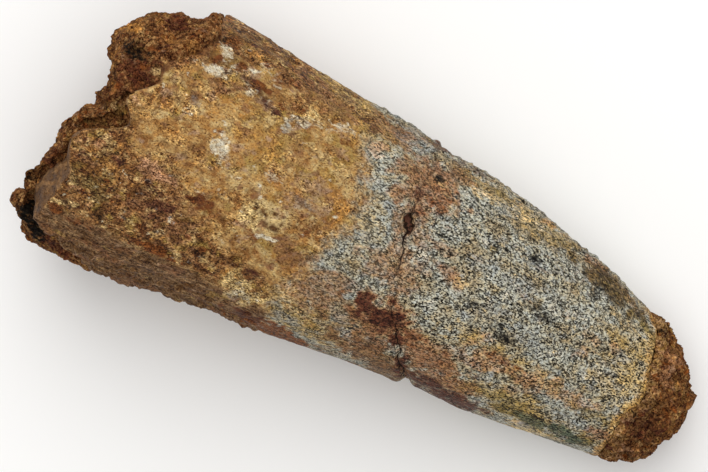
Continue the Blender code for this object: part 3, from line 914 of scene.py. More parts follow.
ROOT_STONE_STAINS = placed({
    Mineral.ORANGE: [(-33.3, 9.8, 1.1, 0.8, 0.77), (-27.5, 10.0, 1.6, 1, 0.42), (-34.0, 5.5, 1.2, 2, 0.42)],
    Mineral.BLACK: [
        (-31.6, 7.9, 2.21, 1.3, 0.58), (-34.6, -12.6, 1.3, 1.56, 0.68),
        (-33.2, -13.8, 2.08, 1.3, 0.68, -30),
    ],
    Mineral.MAROON: [
        (-28.8, 12.1, 2.04, 1.2, 0.58), (-30.4, 5.3, 2.88, 2.16, 0.56), (-31.2, 0.4, 3.0, 1.2, 0.35, 20),
        (-31.2, -14.6, 2.4, 0.84, 0.62), (-34.6, -6.0, 0.96, 3.6, 0.47, 10),
    ],
    Mineral.CREAM: [(-29.0, 6.3, 0.9, 0.5, 0.55, 20), (-31.0, 1.4, 0.6, 0.5, 0.68)],
    Mineral.UMBER: [(-30.2, 5.4, 1.8, 1.5, 0.62)],
    Mineral.KHAKI: [(-30.6, 1.2, 2.0, 0.9, 0.5, 10)],
    Mineral.OLIVE: [(-32.6, -14.5, 0.9, 0.4, 0.63)],
})
TIP_STONE_STAINS = placed({
    Mineral.ORANGE: [(33.2, 4.6, 1.4, 1.2, 0.51), (35.4, -0.5, 1.2, 1, 0.38)],
    Mineral.SALMON: [(32.8, 2.2, 1.4, 3.2, 0.42)],
    Mineral.MAROON: [(33.4, -4.8, 2.8, 2.6, 0.5)],
    Mineral.PINK: [(31.8, -8.0, 2.0, 1.2, 0.4), (33.0, 2.0, 0.6, 1.2, 0.4)],
    Mineral.UMBER: [(33.5, -5.0, 3.0, 3.0, 0.3)],
    Mineral.CREAM: [(33.8, -6.6, 1.3, 0.7, 0.38)],
})
ROOT_STONE_DENTS = (
    Dent(-36.4, -11.5, 1.0, 1.2, 0.45),
    Dent(-36.3, -8.9, 0.9, 1.0, -1.1),
    Dent(-33.3, 3.4, 0.9, 0.8, -0.15),
    Dent(-34.1, 1.9, 0.6, 0.6, 0.5),
    Dent(-31.2, 7.9, 1.2, 0.9, -0.4),
    Dent(-33.4, 10.6, 0.9, 0.8, -0.15),
    Dent(-34.4, 8.2, 0.8, 1.2, 0.6),
    Dent(-34.4, 6.4, 0.7, 1.0, 0.45),
    Dent(-34.4, 0.2, 0.8, 0.6, 0.5),
    Dent(-35.5, -2.7, 0.8, 0.9, 0.4),
    Dent(-35.6, -4.6, 0.7, 0.8, 0.4),
    Dent(-30.2, 5.2, 0.8, 0.6, 0.4),
    Dent(-27.4, 15.1, 1.6, 1.2, -1.6),
    Dent(-26.3, 15.3, 0.9, 1.3, -1.5),
)
TIP_STONE_DENTS = (
    Dent(29.5, 6.8, 1.2, 1.0, -0.6),
    Dent(31.4, 6.0, 1.0, 0.9, 0.2),
    Dent(36.6, 0.1, 0.7, 0.7, 0.5),
    Dent(36.4, -2.5, 0.8, 0.9, 0.6),
    Dent(35.0, 2.8, 1.0, 1.0, 0.05),
    Dent(33.6, -8.0, 1.4, 1.0, 0.45),
    Dent(29.8, -9.6, 1.1, 0.9, -0.5),
)
STONE_BLOOMS = strewn({
    Zone.STONE: [
        (Mineral.ORANGE, 1.4, 0.3, 0.4), (Mineral.PINK, 1.1, 0.3, 0.45), (Mineral.OLIVE, 1.3, 0.3, 0.4),
        (Mineral.UMBER, 1.2, 0.05, 0.6), (Mineral.RUST, 1.0, 0.15, 0.6), (Mineral.MAROON, 0.9, 0.25, 0.6),
        (Mineral.KHAKI, 0.8, 0.25, 0.4), (Mineral.BLACK, 0.6, 0.4, 0.55), (Mineral.MAROON, 3.6, 0.25, 0.45),
        (Mineral.ORANGE, 3.2, 0.25, 0.42),
    ],
})


@dataclass
class Sandstone:
    """A piece of the coarse brown sandstone that the tooth was buried in.

    Attributes:
        solid: The remeshed copy of its solid.
        stains: Its stains.
        lump: Width of its lumps.
        lump_height: How far they stand out.
        grain: Width of its grains.
        grain_height: How far they stand out.
        growth: How far it is thickened beside the tooth, to close the thin gap that its solid keeps.
        shrinkage: How far it is thinned elsewhere, to leave room for its lumps.
        flush: How much further it is thickened beside the tooth, where it laps onto the tooth.
        flush_from: Places across the tooth between which that starts.
        flush_top: The share of it that faces which look up or down have.
        rim_shift: How far its rim on the tooth is moved towards the tip.
        dents: Its larger lumps and hollows.
        rim_stain: How much of its rim on the tooth is worn to the tooth's tan, from 0 to 1.
        hollows: How deep its end is hollowed out in places.
        hollow_width: Width of those hollows.
        lower_from: Heights between which they start, going down.
        upper_from: Heights between which they start again, going up, where they are shallower.
        upper_share: How deep those are, as a share of the lower ones.
    """

    solid: CarvedSolid
    stains: list[Stain]
    lump: float = 1.7
    lump_height: float = 0.34
    grain: float = 0.75
    grain_height: float = 0.34
    growth: float = 0.25
    shrinkage: float = 0.1
    flush: float = 1.3
    flush_from: tuple[float, float] = (2.2, 5.5)
    flush_top: float = 1.0
    rim_shift: float = 0.0
    dents: tuple[Dent, ...] = ()
    rim_stain: float = 0.0
    hollows: float = 0.0
    hollow_width: float = 4.2
    lower_from: tuple[float, float] = (16.0, 11.0)
    upper_from: tuple[float, float] = (19.0, 21.0)
    upper_share: float = 0.45

    def build(self, material: bpy.types.Material) -> bpy.types.Object:
        """Makes the piece.

        Args:
            material: Its finish.

        Returns:
            The finished piece.
        """
        piece = self.solid.fine_copy()
        points, normals = self.solid.read(piece.data)
        lumps = unevenness(points, self.lump, seed=21.0, octaves=3)
        grains = granules(points, self.grain, seed=22.0)
        grains += 0.5 * unevenness(points, self.grain / 2, seed=24.0, octaves=2)
        crevices = -np.abs(unevenness(points, self.lump * 0.7, seed=23.0, octaves=2))
        gap = near(points, "tooth")
        depth = self.growth - (self.growth + self.shrinkage) * eased(0.6, 1.3, gap)
        depth += self.lump_height * (lumps + 0.6 * crevices) + self.grain_height * grains
        lapping = eased(2.6, 0.4, gap) * eased(*self.flush_from, points[:, 1])
        depth += self.flush * lapping * (1 - (1 - self.flush_top) * eased(0.5, 0.8, np.abs(normals[:, 2])))
        hollowed = unevenness(points, self.hollow_width, seed=25.0, octaves=3).clip(0, 1)
        lower = eased(*self.lower_from, points[:, 2])
        upper = self.upper_share * eased(*self.upper_from, points[:, 2])
        hollowed *= eased(0.4, 0.8, np.abs(normals[:, 0])) * (lower + upper)
        depth -= self.hollows * hollowed
        for dent in self.dents:
            depth += dent.lift(points, low=4.0)
        carved = points + normals * depth[:, None]
        carved[:, 0] += self.rim_shift * eased(33.0, 30.5, points[:, 0])
        self.solid.write(piece.data, carved)
        zones = {Zone.STONE: np.ones(len(points))}
        # Faces that can't be seen from above keep only a little of the stains that are placed from there
        seen = 0.15 + 0.85 * eased(-0.1, 0.3, normals[:, 2])
        covers = painted(points, self.stains, STONE_BLOOMS, zones, seen)
        rim = self.rim_stain * seen * eased(1.4, 0.7, gap + 0.8 * lumps)
        covers[Mineral.KHAKI] = np.maximum(covers[Mineral.KHAKI], 0.8 * rim)
        covers[Mineral.PINK] = np.maximum(covers[Mineral.PINK], 0.7 * rim)
        for mineral, cover in covers.items():
            self.solid.paint(piece.data, mineral.name.lower(), cover)
        # The finish darkens the low places and hollows by this height: partly dirt, partly painted shade
        height = lumps + 0.8 * crevices + 0.5 * grains - 0.8 * self.hollows * hollowed
        self.solid.paint(piece.data, "height", height)
        self.solid.settle(piece, material)
        return piece


class Pattern(Enum):
    """The noises that the finishes are made of: width in millimetres, stretch along the tooth, and detail.

    The usual view has 0.1 mm to a pixel. What is finer than that on a real tooth is drawn coarser, so that
    it shows.
    """

    # Specks in the dentine and the cement, which are really under 0.1 mm wide and so are drawn coarser
    FINE = (0.17, 1.0, 1.0)
    # Scratches and fibres in the enamel, which are really about 0.03 mm wide and so are drawn coarser
    STROKE = (0.11, 2.4, 1.0)
    # Grains of worn dentine and grains of sand, a little under half a millimetre
    GRAIN = (0.42, 1.2, 2.0)
    # Flakes of dentine, under a millimetre
    CHUNK = (0.8, 1.2, 3.0)
    # Blotches where minerals soaked in, about a millimetre
    MOTTLE = (0.95, 1.3, 4.0)
    # Worn plates of dentine between hair cracks, two to three millimetres
    PLATE = (2.6, 1.3, 3.0)
    # Slow changes in the enamel's grey, about two millimetres
    TINGE = (2.1, 1.5, 4.0)
    # Striae that run along the tooth, a fifth of a millimetre wide
    STRIA = (0.2, 9.0, 2.0)
    # Places where the dark dashes on the enamel crowd, under a millimetre wide
    CLUSTER = (0.75, 3.0, 3.0)
    # Small bends of the crack, half a millimetre
    WOBBLE = (0.5, 1.0, 2.0)

    def __init__(self, size: float, stretch: float, detail: float) -> None:
        """Keeps what the noise is like.

        Args:
            size: Its width in millimetres.
            stretch: How many times longer it is along the tooth.
            detail: How many finer noises are added.
        """
        self.size = size
        self.stretch = stretch
        self.detail = detail


# Width in millimetres of the grains that differ in hue, and their tints: #bcbcbc leaves a colour as it is
HUE_SIZE = 0.4
HUE_STOPS = ((0.32, "#b8bbc2"), (0.45, "#bbbcbe"), (0.55, "#bdbcb9"), (0.7, "#c4bcaf"))
# What makes up for the middle greys of the tints and of the fine grains
BRIGHTENING = 5.0
# How many times longer a stain's grains are along the tooth than across it
STAIN_STRETCH = 2.2
# The body of the sandstone, which also crusts the tooth beside it
STONE_STOPS = ((0.34, "#4a2d1b"), (0.44, "#694527"), (0.5, "#775030"), (0.57, "#83603c"), (0.68, "#9a7a4f"))


class Finish:
    """A material that is being built, with coordinates in millimetres. Its noises differ in their W."""

    def __init__(self, name: str, patterns: tuple[Pattern, ...]) -> None:
        """Starts the material with its noises, each from 0 to 1 and mostly near a half.

        Args:
            name: The material's name.
            patterns: The noises that it is made of.
        """
        self.material = bpy.data.materials.new(name)
        self.material.use_nodes = True
        self.material.node_tree.nodes.clear()
        place = self.add("TexCoord", out="Object")
        self.place = self.add("VectorMath", {"Vector": place, "Scale": 1 / MM}, operation="SCALE")
        self.noises: dict[Pattern, Socket] = {}
        for number, pattern in enumerate(patterns):
            drawn = self.add("Mapping", {"Vector": self.place, "Scale": (1 / pattern.stretch, 1.0, 1.0)})
            self.noises[pattern] = self.add(
                "TexNoise",
                {"Vector": drawn, "W": 5.0 * number, "Scale": 1 / pattern.size, "Detail": pattern.detail,
                 "Roughness": 0.65},
                noise_dimensions="4D",
            )

    def add(
        self, kind: str, inputs: dict | None = None, out: str = "", stops: Ramp = (), **settings
    ) -> Socket:
        """Adds a node with its settings, values and links.

        Args:
            kind: The node's type, without the word that all shader nodes start with.
            inputs: A value or another node's output for each input, by its name, or by its number.
            out: Name of the output that is wanted, or nothing for the first one.
            stops: Places and hex colours of a colour ramp.
            settings: The node's own properties.

        Returns:
            The wanted output.
        """
        tree = self.material.node_tree
        node = tree.nodes.new("ShaderNode" + kind)
        for name, value in settings.items():
            setattr(node, name, value)
        for name, value in (inputs or {}).items():
            live = [socket for socket in node.inputs if socket.enabled]
            socket = live[name] if isinstance(name, int) else next(s for s in live if s.name == name)
            if isinstance(value, Socket):
                tree.links.new(value, socket)
            else:
                socket.default_value = value
        for number, (place, colour) in enumerate(stops):
            elements = node.color_ramp.elements
            element = elements[number] if number < 2 else elements.new(place)
            element.position = place
            element.color = linear(colour)
        outputs = [socket for socket in node.outputs if socket.enabled and out in ("", socket.name)]
        return outputs[0] if outputs else None

    def crumbs(self, width: float, stretch: float) -> Socket:
        """Lays tiny grains, each with a brightness of its own from 0 to 1.

        Args:
            width: Their width in millimetres.
            stretch: How many times longer they are along the tooth.

        Returns:
            The grains' brightness.
        """
        drawn = self.add("Mapping", {"Vector": self.place, "Scale": (1 / stretch, 1.0, 1.0)})
        return self.add("TexVoronoi", {"Vector": drawn, "Scale": 1 / width}, out="Color")

    def cover(self, mask: str, noisy: Socket, softness: float) -> Socket:
        """Where a layer shows that is painted as a mask on the mesh. It breaks up where the mask is thin.

        Args:
            mask: The mask's name.
            noisy: The noise that it breaks up by.
            softness: How softly its grains end.

        Returns:
            The layer's cover, from 0 to 1.
        """
        painted_on = self.add("Attribute", attribute_name=mask, out="Fac")
        level = self.add("Math", {0: painted_on, 1: noisy}, operation="ADD")
        return self.add("MapRange", {"Value": level, "From Min": 1 - softness, "From Max": 1 + softness})

    def stained(self, colour: Socket) -> Socket:
        """Lays each mineral over a colour, in the order of the list.

        Args:
            colour: The colour underneath.

        Returns:
            The stained colour.
        """
        drawn = self.add("Mapping", {"Vector": self.place, "Scale": (1 / STAIN_STRETCH, 1.0, 1.0)})
        for number, mineral in enumerate(Mineral):
            grain = self.add(
                "TexNoise",
                {"Vector": drawn, "W": 50.0 + 3 * number, "Scale": 1 / mineral.grain, "Detail": 3.0,
                 "Roughness": 0.7},
                noise_dimensions="4D",
            )
            cover = self.cover(mineral.name.lower(), grain, mineral.softness)
            colour = self.add(
                "Mix", {"Factor": cover, "A": colour, "B": linear(mineral.colour)}, data_type="RGBA"
            )
        return colour

    def layered(self, colour: Socket, layers: tuple[tuple[Socket, Ramp, Socket], ...]) -> Socket:
        """Lays ramps over a colour, one after the other.

        Args:
            colour: The colour underneath.
            layers: Where each one covers, its ramp, and the noise that runs through the ramp.

        Returns:
            The layered colour.
        """
        for cover, stops, noisy in layers:
            layer = self.add("ValToRGB", {"Fac": noisy}, stops=stops)
            colour = self.add("Mix", {"Factor": cover, "A": colour, "B": layer}, data_type="RGBA")
        return colour

    def speckled(self, colour: Socket, grains: Socket) -> Socket:
        """Darkens and lightens a colour by fine grains, some a little yellower and some a little bluer.

        Args:
            colour: The colour.
            grains: The grains' brightness. The grey #a9a9a9 leaves a colour as bright as it is.

        Returns:
            The speckled colour.
        """
        changing = self.add(
            "TexNoise",
            {"Vector": self.place, "W": 90.0, "Scale": 1 / HUE_SIZE, "Detail": 2.0},
            noise_dimensions="4D",
        )
        hues = self.add("ValToRGB", {"Fac": changing}, stops=HUE_STOPS)
        tinted = self.add("VectorMath", {0: colour, 1: hues}, operation="MULTIPLY")
        darkened = self.add("VectorMath", {0: tinted, 1: grains}, operation="MULTIPLY")
        return self.add("VectorMath", {"Vector": darkened, "Scale": BRIGHTENING}, operation="SCALE")

    def finished(
        self, colour: Socket, height: Socket, relief: float, roughness: float, gloss: float
    ) -> bpy.types.Material:
        """Ends the tree in a surface.

        Args:
            colour: Its colour.
            height: A height from 0 to 1, for the grain that is too fine for the mesh.
            relief: How high that grain stands, in millimetres.
            roughness: Its roughness.
            gloss: Its specular level.

        Returns:
            The finished material.
        """
        bump = self.add("Bump", {"Distance": relief * MM, "Height": height})
        surface = self.add(
            "BsdfPrincipled",
            {"Base Color": colour, "Roughness": roughness, "Specular IOR Level": gloss, "Normal": bump},
        )
        self.add("OutputMaterial", {"Surface": surface})
        return self.material


@dataclass(frozen=True)
class FossilFinish:
    """Mineralised dentine and enamel, speckled all over with fine grains and blotched with minerals.

    Attributes:
        tan: Ramp of the root's upper side.
        brown: Ramp of the root's lower part.
        side: Ramp of the root's side and underside, streaked lengthwise. Part of its darkness is painted
            shade.
        crown: Ramp of the enamel.
        broken: Ramp of the smooth broken face of the root's wall.
        worn_grain: Ramp that darkens and lightens the fine grains of the dentine's worn plates.
        rough_grain: The same between the plates, and for the dentine's brown part.
        fibre_grain: The same for the root's side.
        enamel_grain: The same for the enamel.
        hairline: Colour of the hair cracks round the plates.
        crack: Colour of the open crack.
        crack_floor: Colour of the hollow's floor.
        crack_line: Distances from its middle at which the crack's line ends and is full.
        crack_cover: How much of what is under it the crack hides.
        hollow_rim: Levels between which the hollow's dark rim starts.
        hollow_floor: Levels between which the rim gives way to the floor.
        plate_edge: The level of the PLATE noise at which a worn plate ends.
    """

    # The tooth lay in iron-rich sand, took up its minerals and was brushed clean by hand. So the dentine is
    # tan with russet and dark blotches, the enamel is a mottled grey that is worn through in places, and
    # both have the dull sheen of stone that was never polished
    tan: Ramp = (
        (0.34, "#835a31"), (0.43, "#9a7343"), (0.5, "#a58150"), (0.58, "#b08f5c"), (0.68, "#baa474"),
    )
    brown: Ramp = (
        (0.34, "#50301a"), (0.44, "#704a29"), (0.5, "#835d38"), (0.56, "#947349"), (0.66, "#ad946a"),
    )
    side: Ramp = (
        (0.34, "#452c17"), (0.44, "#5d422a"), (0.5, "#6e5238"), (0.56, "#7f6446"), (0.66, "#9a7e5a"),
    )
    crown: Ramp = (
        (0.34, "#7d7058"), (0.42, "#857b66"), (0.48, "#8a8575"), (0.56, "#8a8b83"), (0.66, "#9c978a"),
    )
    broken: Ramp = ((0.38, "#5a473b"), (0.5, "#6b5039"), (0.62, "#8a6947"))
    worn_grain: Ramp = (
        (0.28, "#3c2a1a"), (0.385, "#8a8074"), (0.46, "#acaaa8"), (0.6, "#b8b8b6"), (0.72, "#d8d8d0"),
    )
    rough_grain: Ramp = (
        (0.33, "#150a03"), (0.42, "#5c4c3a"), (0.49, "#9c9890"), (0.55, "#c6c4bc"), (0.64, "#ffffff"),
    )
    fibre_grain: Ramp = (
        (0.34, "#2b1c10"), (0.43, "#7d7266"), (0.5, "#aaa8a4"), (0.57, "#c8c6c2"), (0.68, "#f4f0e8"),
    )
    enamel_grain: Ramp = (
        (0.36, "#050302"), (0.425, "#37332c"), (0.47, "#8c8984"), (0.52, "#c3c1bc"), (0.61, "#fffdf8"),
    )
    hairline: str = "#5a3a1c"
    crack: str = "#1c0d08"
    crack_floor: str = "#623c2e"
    crack_line: tuple[float, float] = (0.14, 0.05)
    crack_cover: float = 0.93
    hollow_rim: tuple[float, float] = (1.2, 1.28)
    hollow_floor: tuple[float, float] = (1.62, 1.74)
    plate_edge: float = 0.52

    def material(self) -> bpy.types.Material:
        """Builds the material.

        Returns:
            The finish for the tooth.
        """
        finish = Finish("mineralised dentine and enamel", tuple(Pattern))
        noises = finish.noises
        mottle = noises[Pattern.MOTTLE]
        grain = noises[Pattern.GRAIN]
        chunk = noises[Pattern.CHUNK]
        stria = noises[Pattern.STRIA]
        streaks = finish.add("Mix", {"Factor": 0.6, "A": stria, "B": mottle})
        relief = finish.add("Attribute", attribute_name="relief", out="Fac")
        # Plates that stand out are paler than the pits between them: partly wear, partly painted shade
        worn = finish.add("Math", {0: relief, 1: 0.35, 2: mottle}, operation="MULTIPLY_ADD")
        lumps = finish.add("Mix", {"Factor": 0.6, "A": worn, "B": chunk})
        brown_cover = finish.cover(Zone.BROWN.value, chunk, 0.16)
        side_cover = finish.cover(Zone.SIDE.value, stria, 0.25)
        crown_cover = finish.cover(Zone.CROWN.value, grain, 0.3)
        enamel_cover = finish.cover("enamel", grain, 0.55)
        broken_cover = finish.cover("broken", grain, 0.3)
        colour = finish.add("ValToRGB", {"Fac": worn}, stops=self.tan)
        layers = (
            (brown_cover, self.brown, lumps),
            (side_cover, self.side, streaks),
            (crown_cover, self.crown, noises[Pattern.TINGE]),
            (broken_cover, self.broken, mottle),
        )
        colour = finish.stained(finish.layered(colour, layers))
        stone = finish.add("ValToRGB", {"Fac": mottle}, stops=STONE_STOPS)
        crust = finish.cover("crust", grain, 0.2)
        colour = finish.add("Mix", {"Factor": crust, "A": colour, "B": stone}, data_type="RGBA")
        colour = self.plated(finish, colour, enamel_cover)
        colour = self.grained(finish, colour, (brown_cover, side_cover, enamel_cover, broken_cover))
        colour = self.cracked(finish, colour)
        height = finish.add("Math", {0: noises[Pattern.STROKE], 1: grain}, operation="ADD")
        height = finish.add("Math", {0: stria, 1: 0.4, 2: height}, operation="MULTIPLY_ADD")
        return finish.finished(colour, height, relief=0.13, roughness=0.6, gloss=0.12)

    def plated(self, finish: Finish, colour: Socket, enamel: Socket) -> Socket:
        """Draws the hair cracks round the dentine's worn plates.

        Args:
            finish: The material that is being built.
            colour: The colour without them.
            enamel: Where the enamel is, which has none.

        Returns:
            The colour with the hair cracks.
        """
        noises = finish.noises
        level = finish.add("Math", {0: noises[Pattern.PLATE], 1: self.plate_edge}, operation="SUBTRACT")
        away = finish.add("Math", {0: level}, operation="ABSOLUTE")
        line = finish.add("MapRange", {"Value": away, "From Min": 0.018, "From Max": 0.006})
        broken_up = finish.add(
            "MapRange", {"Value": noises[Pattern.MOTTLE], "From Min": 0.46, "From Max": 0.54}
        )
        partial = finish.add("Math", {0: line, 1: broken_up}, operation="MULTIPLY")
        bare = finish.add("Math", {0: 0.7, 1: enamel}, operation="SUBTRACT", use_clamp=True)
        cover = finish.add("Math", {0: partial, 1: bare}, operation="MULTIPLY")
        return finish.add(
            "Mix", {"Factor": cover, "A": colour, "B": linear(self.hairline)}, data_type="RGBA"
        )

    def grained(self, finish: Finish, colour: Socket, covers: tuple[Socket, ...]) -> Socket:
        """Speckles the colour: strongly on enamel, and faintly on the dentine's worn plates.

        Args:
            finish: The material that is being built.
            colour: The colour without its fine grains.
            covers: Where the dentine's brown part, its side, the enamel and the broken face are.

        Returns:
            The speckled colour.
        """
        noises = finish.noises
        grain = noises[Pattern.GRAIN]
        stria = noises[Pattern.STRIA]
        # Single crystals, which are a few hundredths of a millimetre wide, drawn a pixel wide so they show
        crumbs = finish.crumbs(0.115, 1.7)
        fine = finish.add("Mix", {"Factor": 0.35, "A": noises[Pattern.FINE], "B": grain})
        fine = finish.add("Mix", {"Factor": 0.28, "A": fine, "B": crumbs})
        chunky = finish.add("Mix", {"Factor": 0.22, "A": fine, "B": noises[Pattern.CHUNK]})
        fibres = finish.add("Mix", {"Factor": 0.24, "A": fine, "B": stria})
        streaky = finish.add("Mix", {"Factor": 0.75, "A": grain, "B": stria})
        strokes = finish.add("Mix", {"Factor": 0.3, "A": noises[Pattern.STROKE], "B": streaky})
        strokes = finish.add("Mix", {"Factor": 0.42, "A": strokes, "B": crumbs})
        clustered = finish.add("Mix", {"Factor": 0.14, "A": strokes, "B": noises[Pattern.CLUSTER]})
        dashes = finish.add("MapRange", {"Value": stria, "From Min": 0.42, "From Max": 0.35})
        crowded = finish.add(
            "MapRange", {"Value": noises[Pattern.CLUSTER], "From Min": 0.54, "From Max": 0.44}
        )
        dashed = finish.add("Math", {0: dashes, 1: crowded}, operation="MULTIPLY")
        enamelled = finish.add("Math", {0: dashed, 1: -0.15, 2: clustered}, operation="MULTIPLY_ADD")
        between = finish.add(
            "MapRange", {"Value": noises[Pattern.PLATE], "From Min": self.plate_edge, "From Max": 0.6}
        )
        brown, side, enamel, broken = covers
        grains = finish.add("ValToRGB", {"Fac": fine}, stops=self.worn_grain)
        layers = (
            (between, self.rough_grain, chunky),
            (brown, self.rough_grain, chunky),
            (side, self.fibre_grain, fibres),
            (enamel, self.enamel_grain, enamelled),
            (broken, self.worn_grain, fine),
        )
        return finish.speckled(colour, finish.layered(grains, layers))

    def cracked(self, finish: Finish, colour: Socket) -> Socket:
        """Draws the crack as a thin dark line, and darkens the hollow that is broken out at it.

        Args:
            finish: The material that is being built.
            colour: The colour without the crack.

        Returns:
            The colour with the crack.
        """
        offset, openness, hollow = (
            finish.add("Attribute", attribute_name=mask, out="Fac")
            for mask in ("crack", "openness", "hollow")
        )
        noises = finish.noises
        # Half the wobble's range is taken off again, so that the line stays on the cut
        wobble = noises[Pattern.WOBBLE]
        shifted = finish.add("Math", {0: wobble, 1: 0.6, 2: offset}, operation="MULTIPLY_ADD")
        centred = finish.add("Math", {0: shifted, 1: 0.3}, operation="SUBTRACT")
        away = finish.add("Math", {0: centred}, operation="ABSOLUTE")
        edge, full = self.crack_line
        line = finish.add("MapRange", {"Value": away, "From Min": edge, "From Max": full})
        open_line = finish.add("Math", {0: line, 1: openness}, operation="MULTIPLY")
        frayed = finish.add("Math", {0: noises[Pattern.GRAIN], 1: 1.6, 2: hollow}, operation="MULTIPLY_ADD")
        edge, full = self.hollow_rim
        inside = finish.add("MapRange", {"Value": frayed, "From Min": edge, "From Max": full})
        dark = finish.add("Math", {0: open_line, 1: inside}, operation="MAXIMUM")
        cover = finish.add("Math", {0: dark, 1: self.crack_cover}, operation="MULTIPLY")
        edge, full = self.hollow_floor
        depth = finish.add("MapRange", {"Value": frayed, "From Min": edge, "From Max": full})
        floor = linear(self.crack_floor)
        tint = finish.add("Mix", {"Factor": depth, "A": linear(self.crack), "B": floor}, data_type="RGBA")
        return finish.add("Mix", {"Factor": cover, "A": colour, "B": tint}, data_type="RGBA")


@dataclass(frozen=True)
class SandstoneFinish:
    """Coarse iron-stained sandstone: dull, with pale quartz grains in a dark brown cement.

    Attributes:
        sand_size: Width of a sand grain in millimetres. Most real ones are finer and would hardly show.
        grain: Ramp that darkens the cement, lightens the quartz grains and paints shade at their edges.
    """

    # Iron oxide cemented the sand, and it was chipped off by hand round the tooth. So it is rough and dull,
    # with pale quartz grains that stand out of a dark brown cement
    sand_size: float = 0.45
    grain: Ramp = (
        (0.28, "#38241a"), (0.38, "#7a6c60"), (0.47, "#aba6a0"), (0.56, "#c4c0ba"), (0.68, "#f8f0e6"),
    )

    def material(self) -> bpy.types.Material:
        """Builds the material.

        Returns:
            The finish for both pieces of sandstone.
        """
        finish = Finish("iron-stained sandstone", (Pattern.FINE, Pattern.GRAIN, Pattern.MOTTLE))
        noises = finish.noises
        bent = finish.add(
            "VectorMath",
            {0: noises[Pattern.GRAIN], 1: (0.5, 0.5, 0.5), 2: finish.place},
            operation="MULTIPLY_ADD",
        )
        off_centre = finish.add("TexVoronoi", {"Vector": bent, "Scale": 1 / self.sand_size}, out="Distance")
        tone = off_centre.node.outputs["Color"]
        body = finish.add("Mix", {"Factor": 0.35, "A": noises[Pattern.MOTTLE], "B": tone})
        colour = finish.add("ValToRGB", {"Fac": body}, stops=STONE_STOPS)
        colour = finish.stained(colour)
        # Painted shade: each grain brightest at its middle and darker towards its edge. It also shapes the
        # bump
        grain_dome_and_shade = finish.add("MapRange", {"Value": off_centre, "From Min": 0.75, "From Max": 0.1})
        both = finish.add("Mix", {"Factor": 0.24, "A": noises[Pattern.FINE], "B": grain_dome_and_shade})
        both = finish.add("Mix", {"Factor": 0.3, "A": both, "B": finish.crumbs(0.14, 1.0)})
        height = finish.add("Attribute", attribute_name="height", out="Fac")
        # What stands out is a little paler and the low places darker: partly dirt, partly painted shade
        level = finish.add("Math", {0: height, 1: 0.06, 2: both}, operation="MULTIPLY_ADD")
        grains = finish.add("ValToRGB", {"Fac": level}, stops=self.grain)
        colour = finish.speckled(colour, grains)
        return finish.finished(colour, both, relief=0.22, roughness=0.9, gloss=0.08)


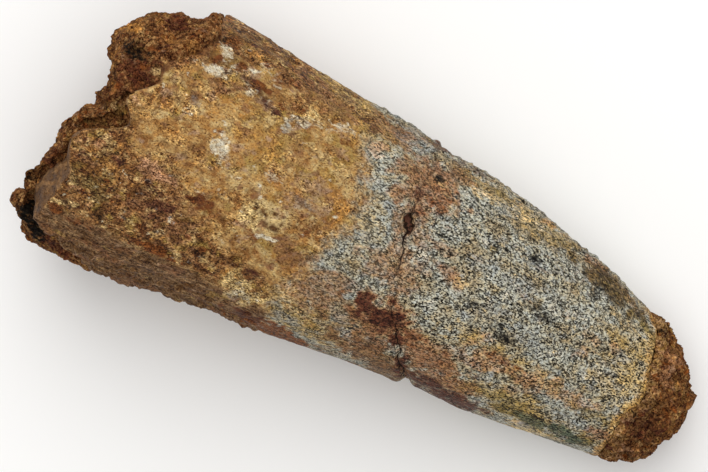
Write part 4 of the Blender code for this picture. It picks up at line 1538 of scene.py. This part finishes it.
@dataclass
class Studio:
    """A pale table under soft light, and a camera that looks straight down, as for the usual view.

    Attributes:
        table_colour: The table top's colour.
        table_width: Its width in metres.
        camera_height: How high the camera is above the table, in metres.
        frame_width: Width of what it sees, level with the tooth's outline.
        outline_height: How high that outline is.
        middle: What the frame's middle shows, as X and Y.
        tooth_slant: Degrees by which the tooth slants down to the right in the frame.
        sensor: Width of the camera's sensor.
        world_strength: Strength of the light from all round.
    """

    table_colour: str = "#fdfcfa"
    table_width: float = 3.0
    camera_height: float = 0.8
    frame_width: float = 74.2
    outline_height: float = 13.0
    middle: tuple[float, float] = (-2.96, 0.12)
    tooth_slant: float = 25.73
    sensor: float = 36.0
    world_strength: float = 0.48

    def build(self) -> None:
        """Makes the table, the lights and the camera."""
        self.lay_table()
        self.light("key", strength=3.6, width=0.8, place=Vector((-0.28, 0.42, 0.62)))
        self.light("fill", strength=3.2, width=0.8, place=Vector((0.1, -0.1, 1.0)))
        self.light_world()
        self.set_camera()
        bpy.context.scene.view_settings.view_transform = "Standard"

    def lay_table(self) -> None:
        """Makes the table top, a plain sheet."""
        bm = bmesh.new()
        bmesh.ops.create_grid(bm, x_segments=1, y_segments=1, size=self.table_width / 2)
        bmesh.ops.translate(bm, vec=Vector((0, 0, -0.02 * MM)), verts=bm.verts[:])
        mesh = bpy.data.meshes.new("table_top")
        bm.to_mesh(mesh)
        bm.free()
        table = bpy.data.objects.new("table_top", mesh)
        bpy.context.scene.collection.objects.link(table)
        # It was pressed in one piece, so it is an even white that reflects nothing sharply
        material = bpy.data.materials.new("matt white laminate")
        material.use_nodes = True
        surface = material.node_tree.nodes["Principled BSDF"]
        surface.inputs["Base Color"].default_value = linear(self.table_colour)
        surface.inputs["Roughness"].default_value = 0.9
        mesh.materials.append(material)

    def light(self, name: str, strength: float, width: float, place: Vector) -> None:
        """Adds a soft square light that faces the tooth.

        Args:
            name: The light's name.
            strength: Its power in watts.
            width: Its width in metres.
            place: Where it is, in metres.
        """
        lamp = bpy.data.lights.new(name, "AREA")
        lamp.energy = strength
        lamp.size = width
        holder = bpy.data.objects.new(name, lamp)
        holder.location = place
        holder.rotation_euler = (-place).to_track_quat("-Z", "Y").to_euler()
        holder.visible_camera = False
        bpy.context.scene.collection.objects.link(holder)

    def light_world(self) -> None:
        """Fills the shadows from all round with a weak white light."""
        world = bpy.data.worlds.new("studio")
        world.use_nodes = True
        background = world.node_tree.nodes["Background"]
        background.inputs["Color"].default_value = (1.0, 1.0, 1.0, 1.0)
        background.inputs["Strength"].default_value = self.world_strength
        bpy.context.scene.world = world

    def set_camera(self) -> None:
        """Hangs the camera over the tooth, turned so that the tooth slants as in the usual view."""
        camera = bpy.data.cameras.new("camera")
        camera.sensor_width = self.sensor
        distance = self.camera_height - self.outline_height * MM
        camera.lens = self.sensor * distance / (self.frame_width * MM)
        camera.clip_end = 10.0
        holder = bpy.data.objects.new("camera", camera)
        holder.location = (self.middle[0] * MM, self.middle[1] * MM, self.camera_height)
        holder.rotation_euler = Matrix.Rotation(math.radians(self.tooth_slant), 3, "Z").to_euler()
        bpy.context.scene.collection.objects.link(holder)
        bpy.context.scene.camera = holder


def main() -> None:
    """Builds the tooth, its sandstone and the studio."""
    logging.basicConfig(level=logging.INFO, format="%(name)s: %(message)s")
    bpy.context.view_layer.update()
    FossilTooth().build(FossilFinish().material())
    sandstone = SandstoneFinish().material()
    root = CarvedSolid("root_sandstone", "root_matrix", "sandstone", grid=0.19, rounding=2)
    Sandstone(root, ROOT_STONE_STAINS, dents=ROOT_STONE_DENTS, hollows=2.4).build(sandstone)
    tip = CarvedSolid(
        "tip_sandstone", "tip_matrix", "sandstone", grid=0.13, rounding=2, slack=0.7, give=(0.1, 0.3, 0.4)
    )
    Sandstone(
        tip, TIP_STONE_STAINS, lump=1.9, lump_height=0.5, grain=0.7, grain_height=0.42, flush=0.4,
        flush_top=0.2, flush_from=(-40.0, -30.0), rim_shift=0.15, dents=TIP_STONE_DENTS, rim_stain=0.6,
    ).build(sandstone)
    Studio().build()


if __name__ == "__main__":
    main()
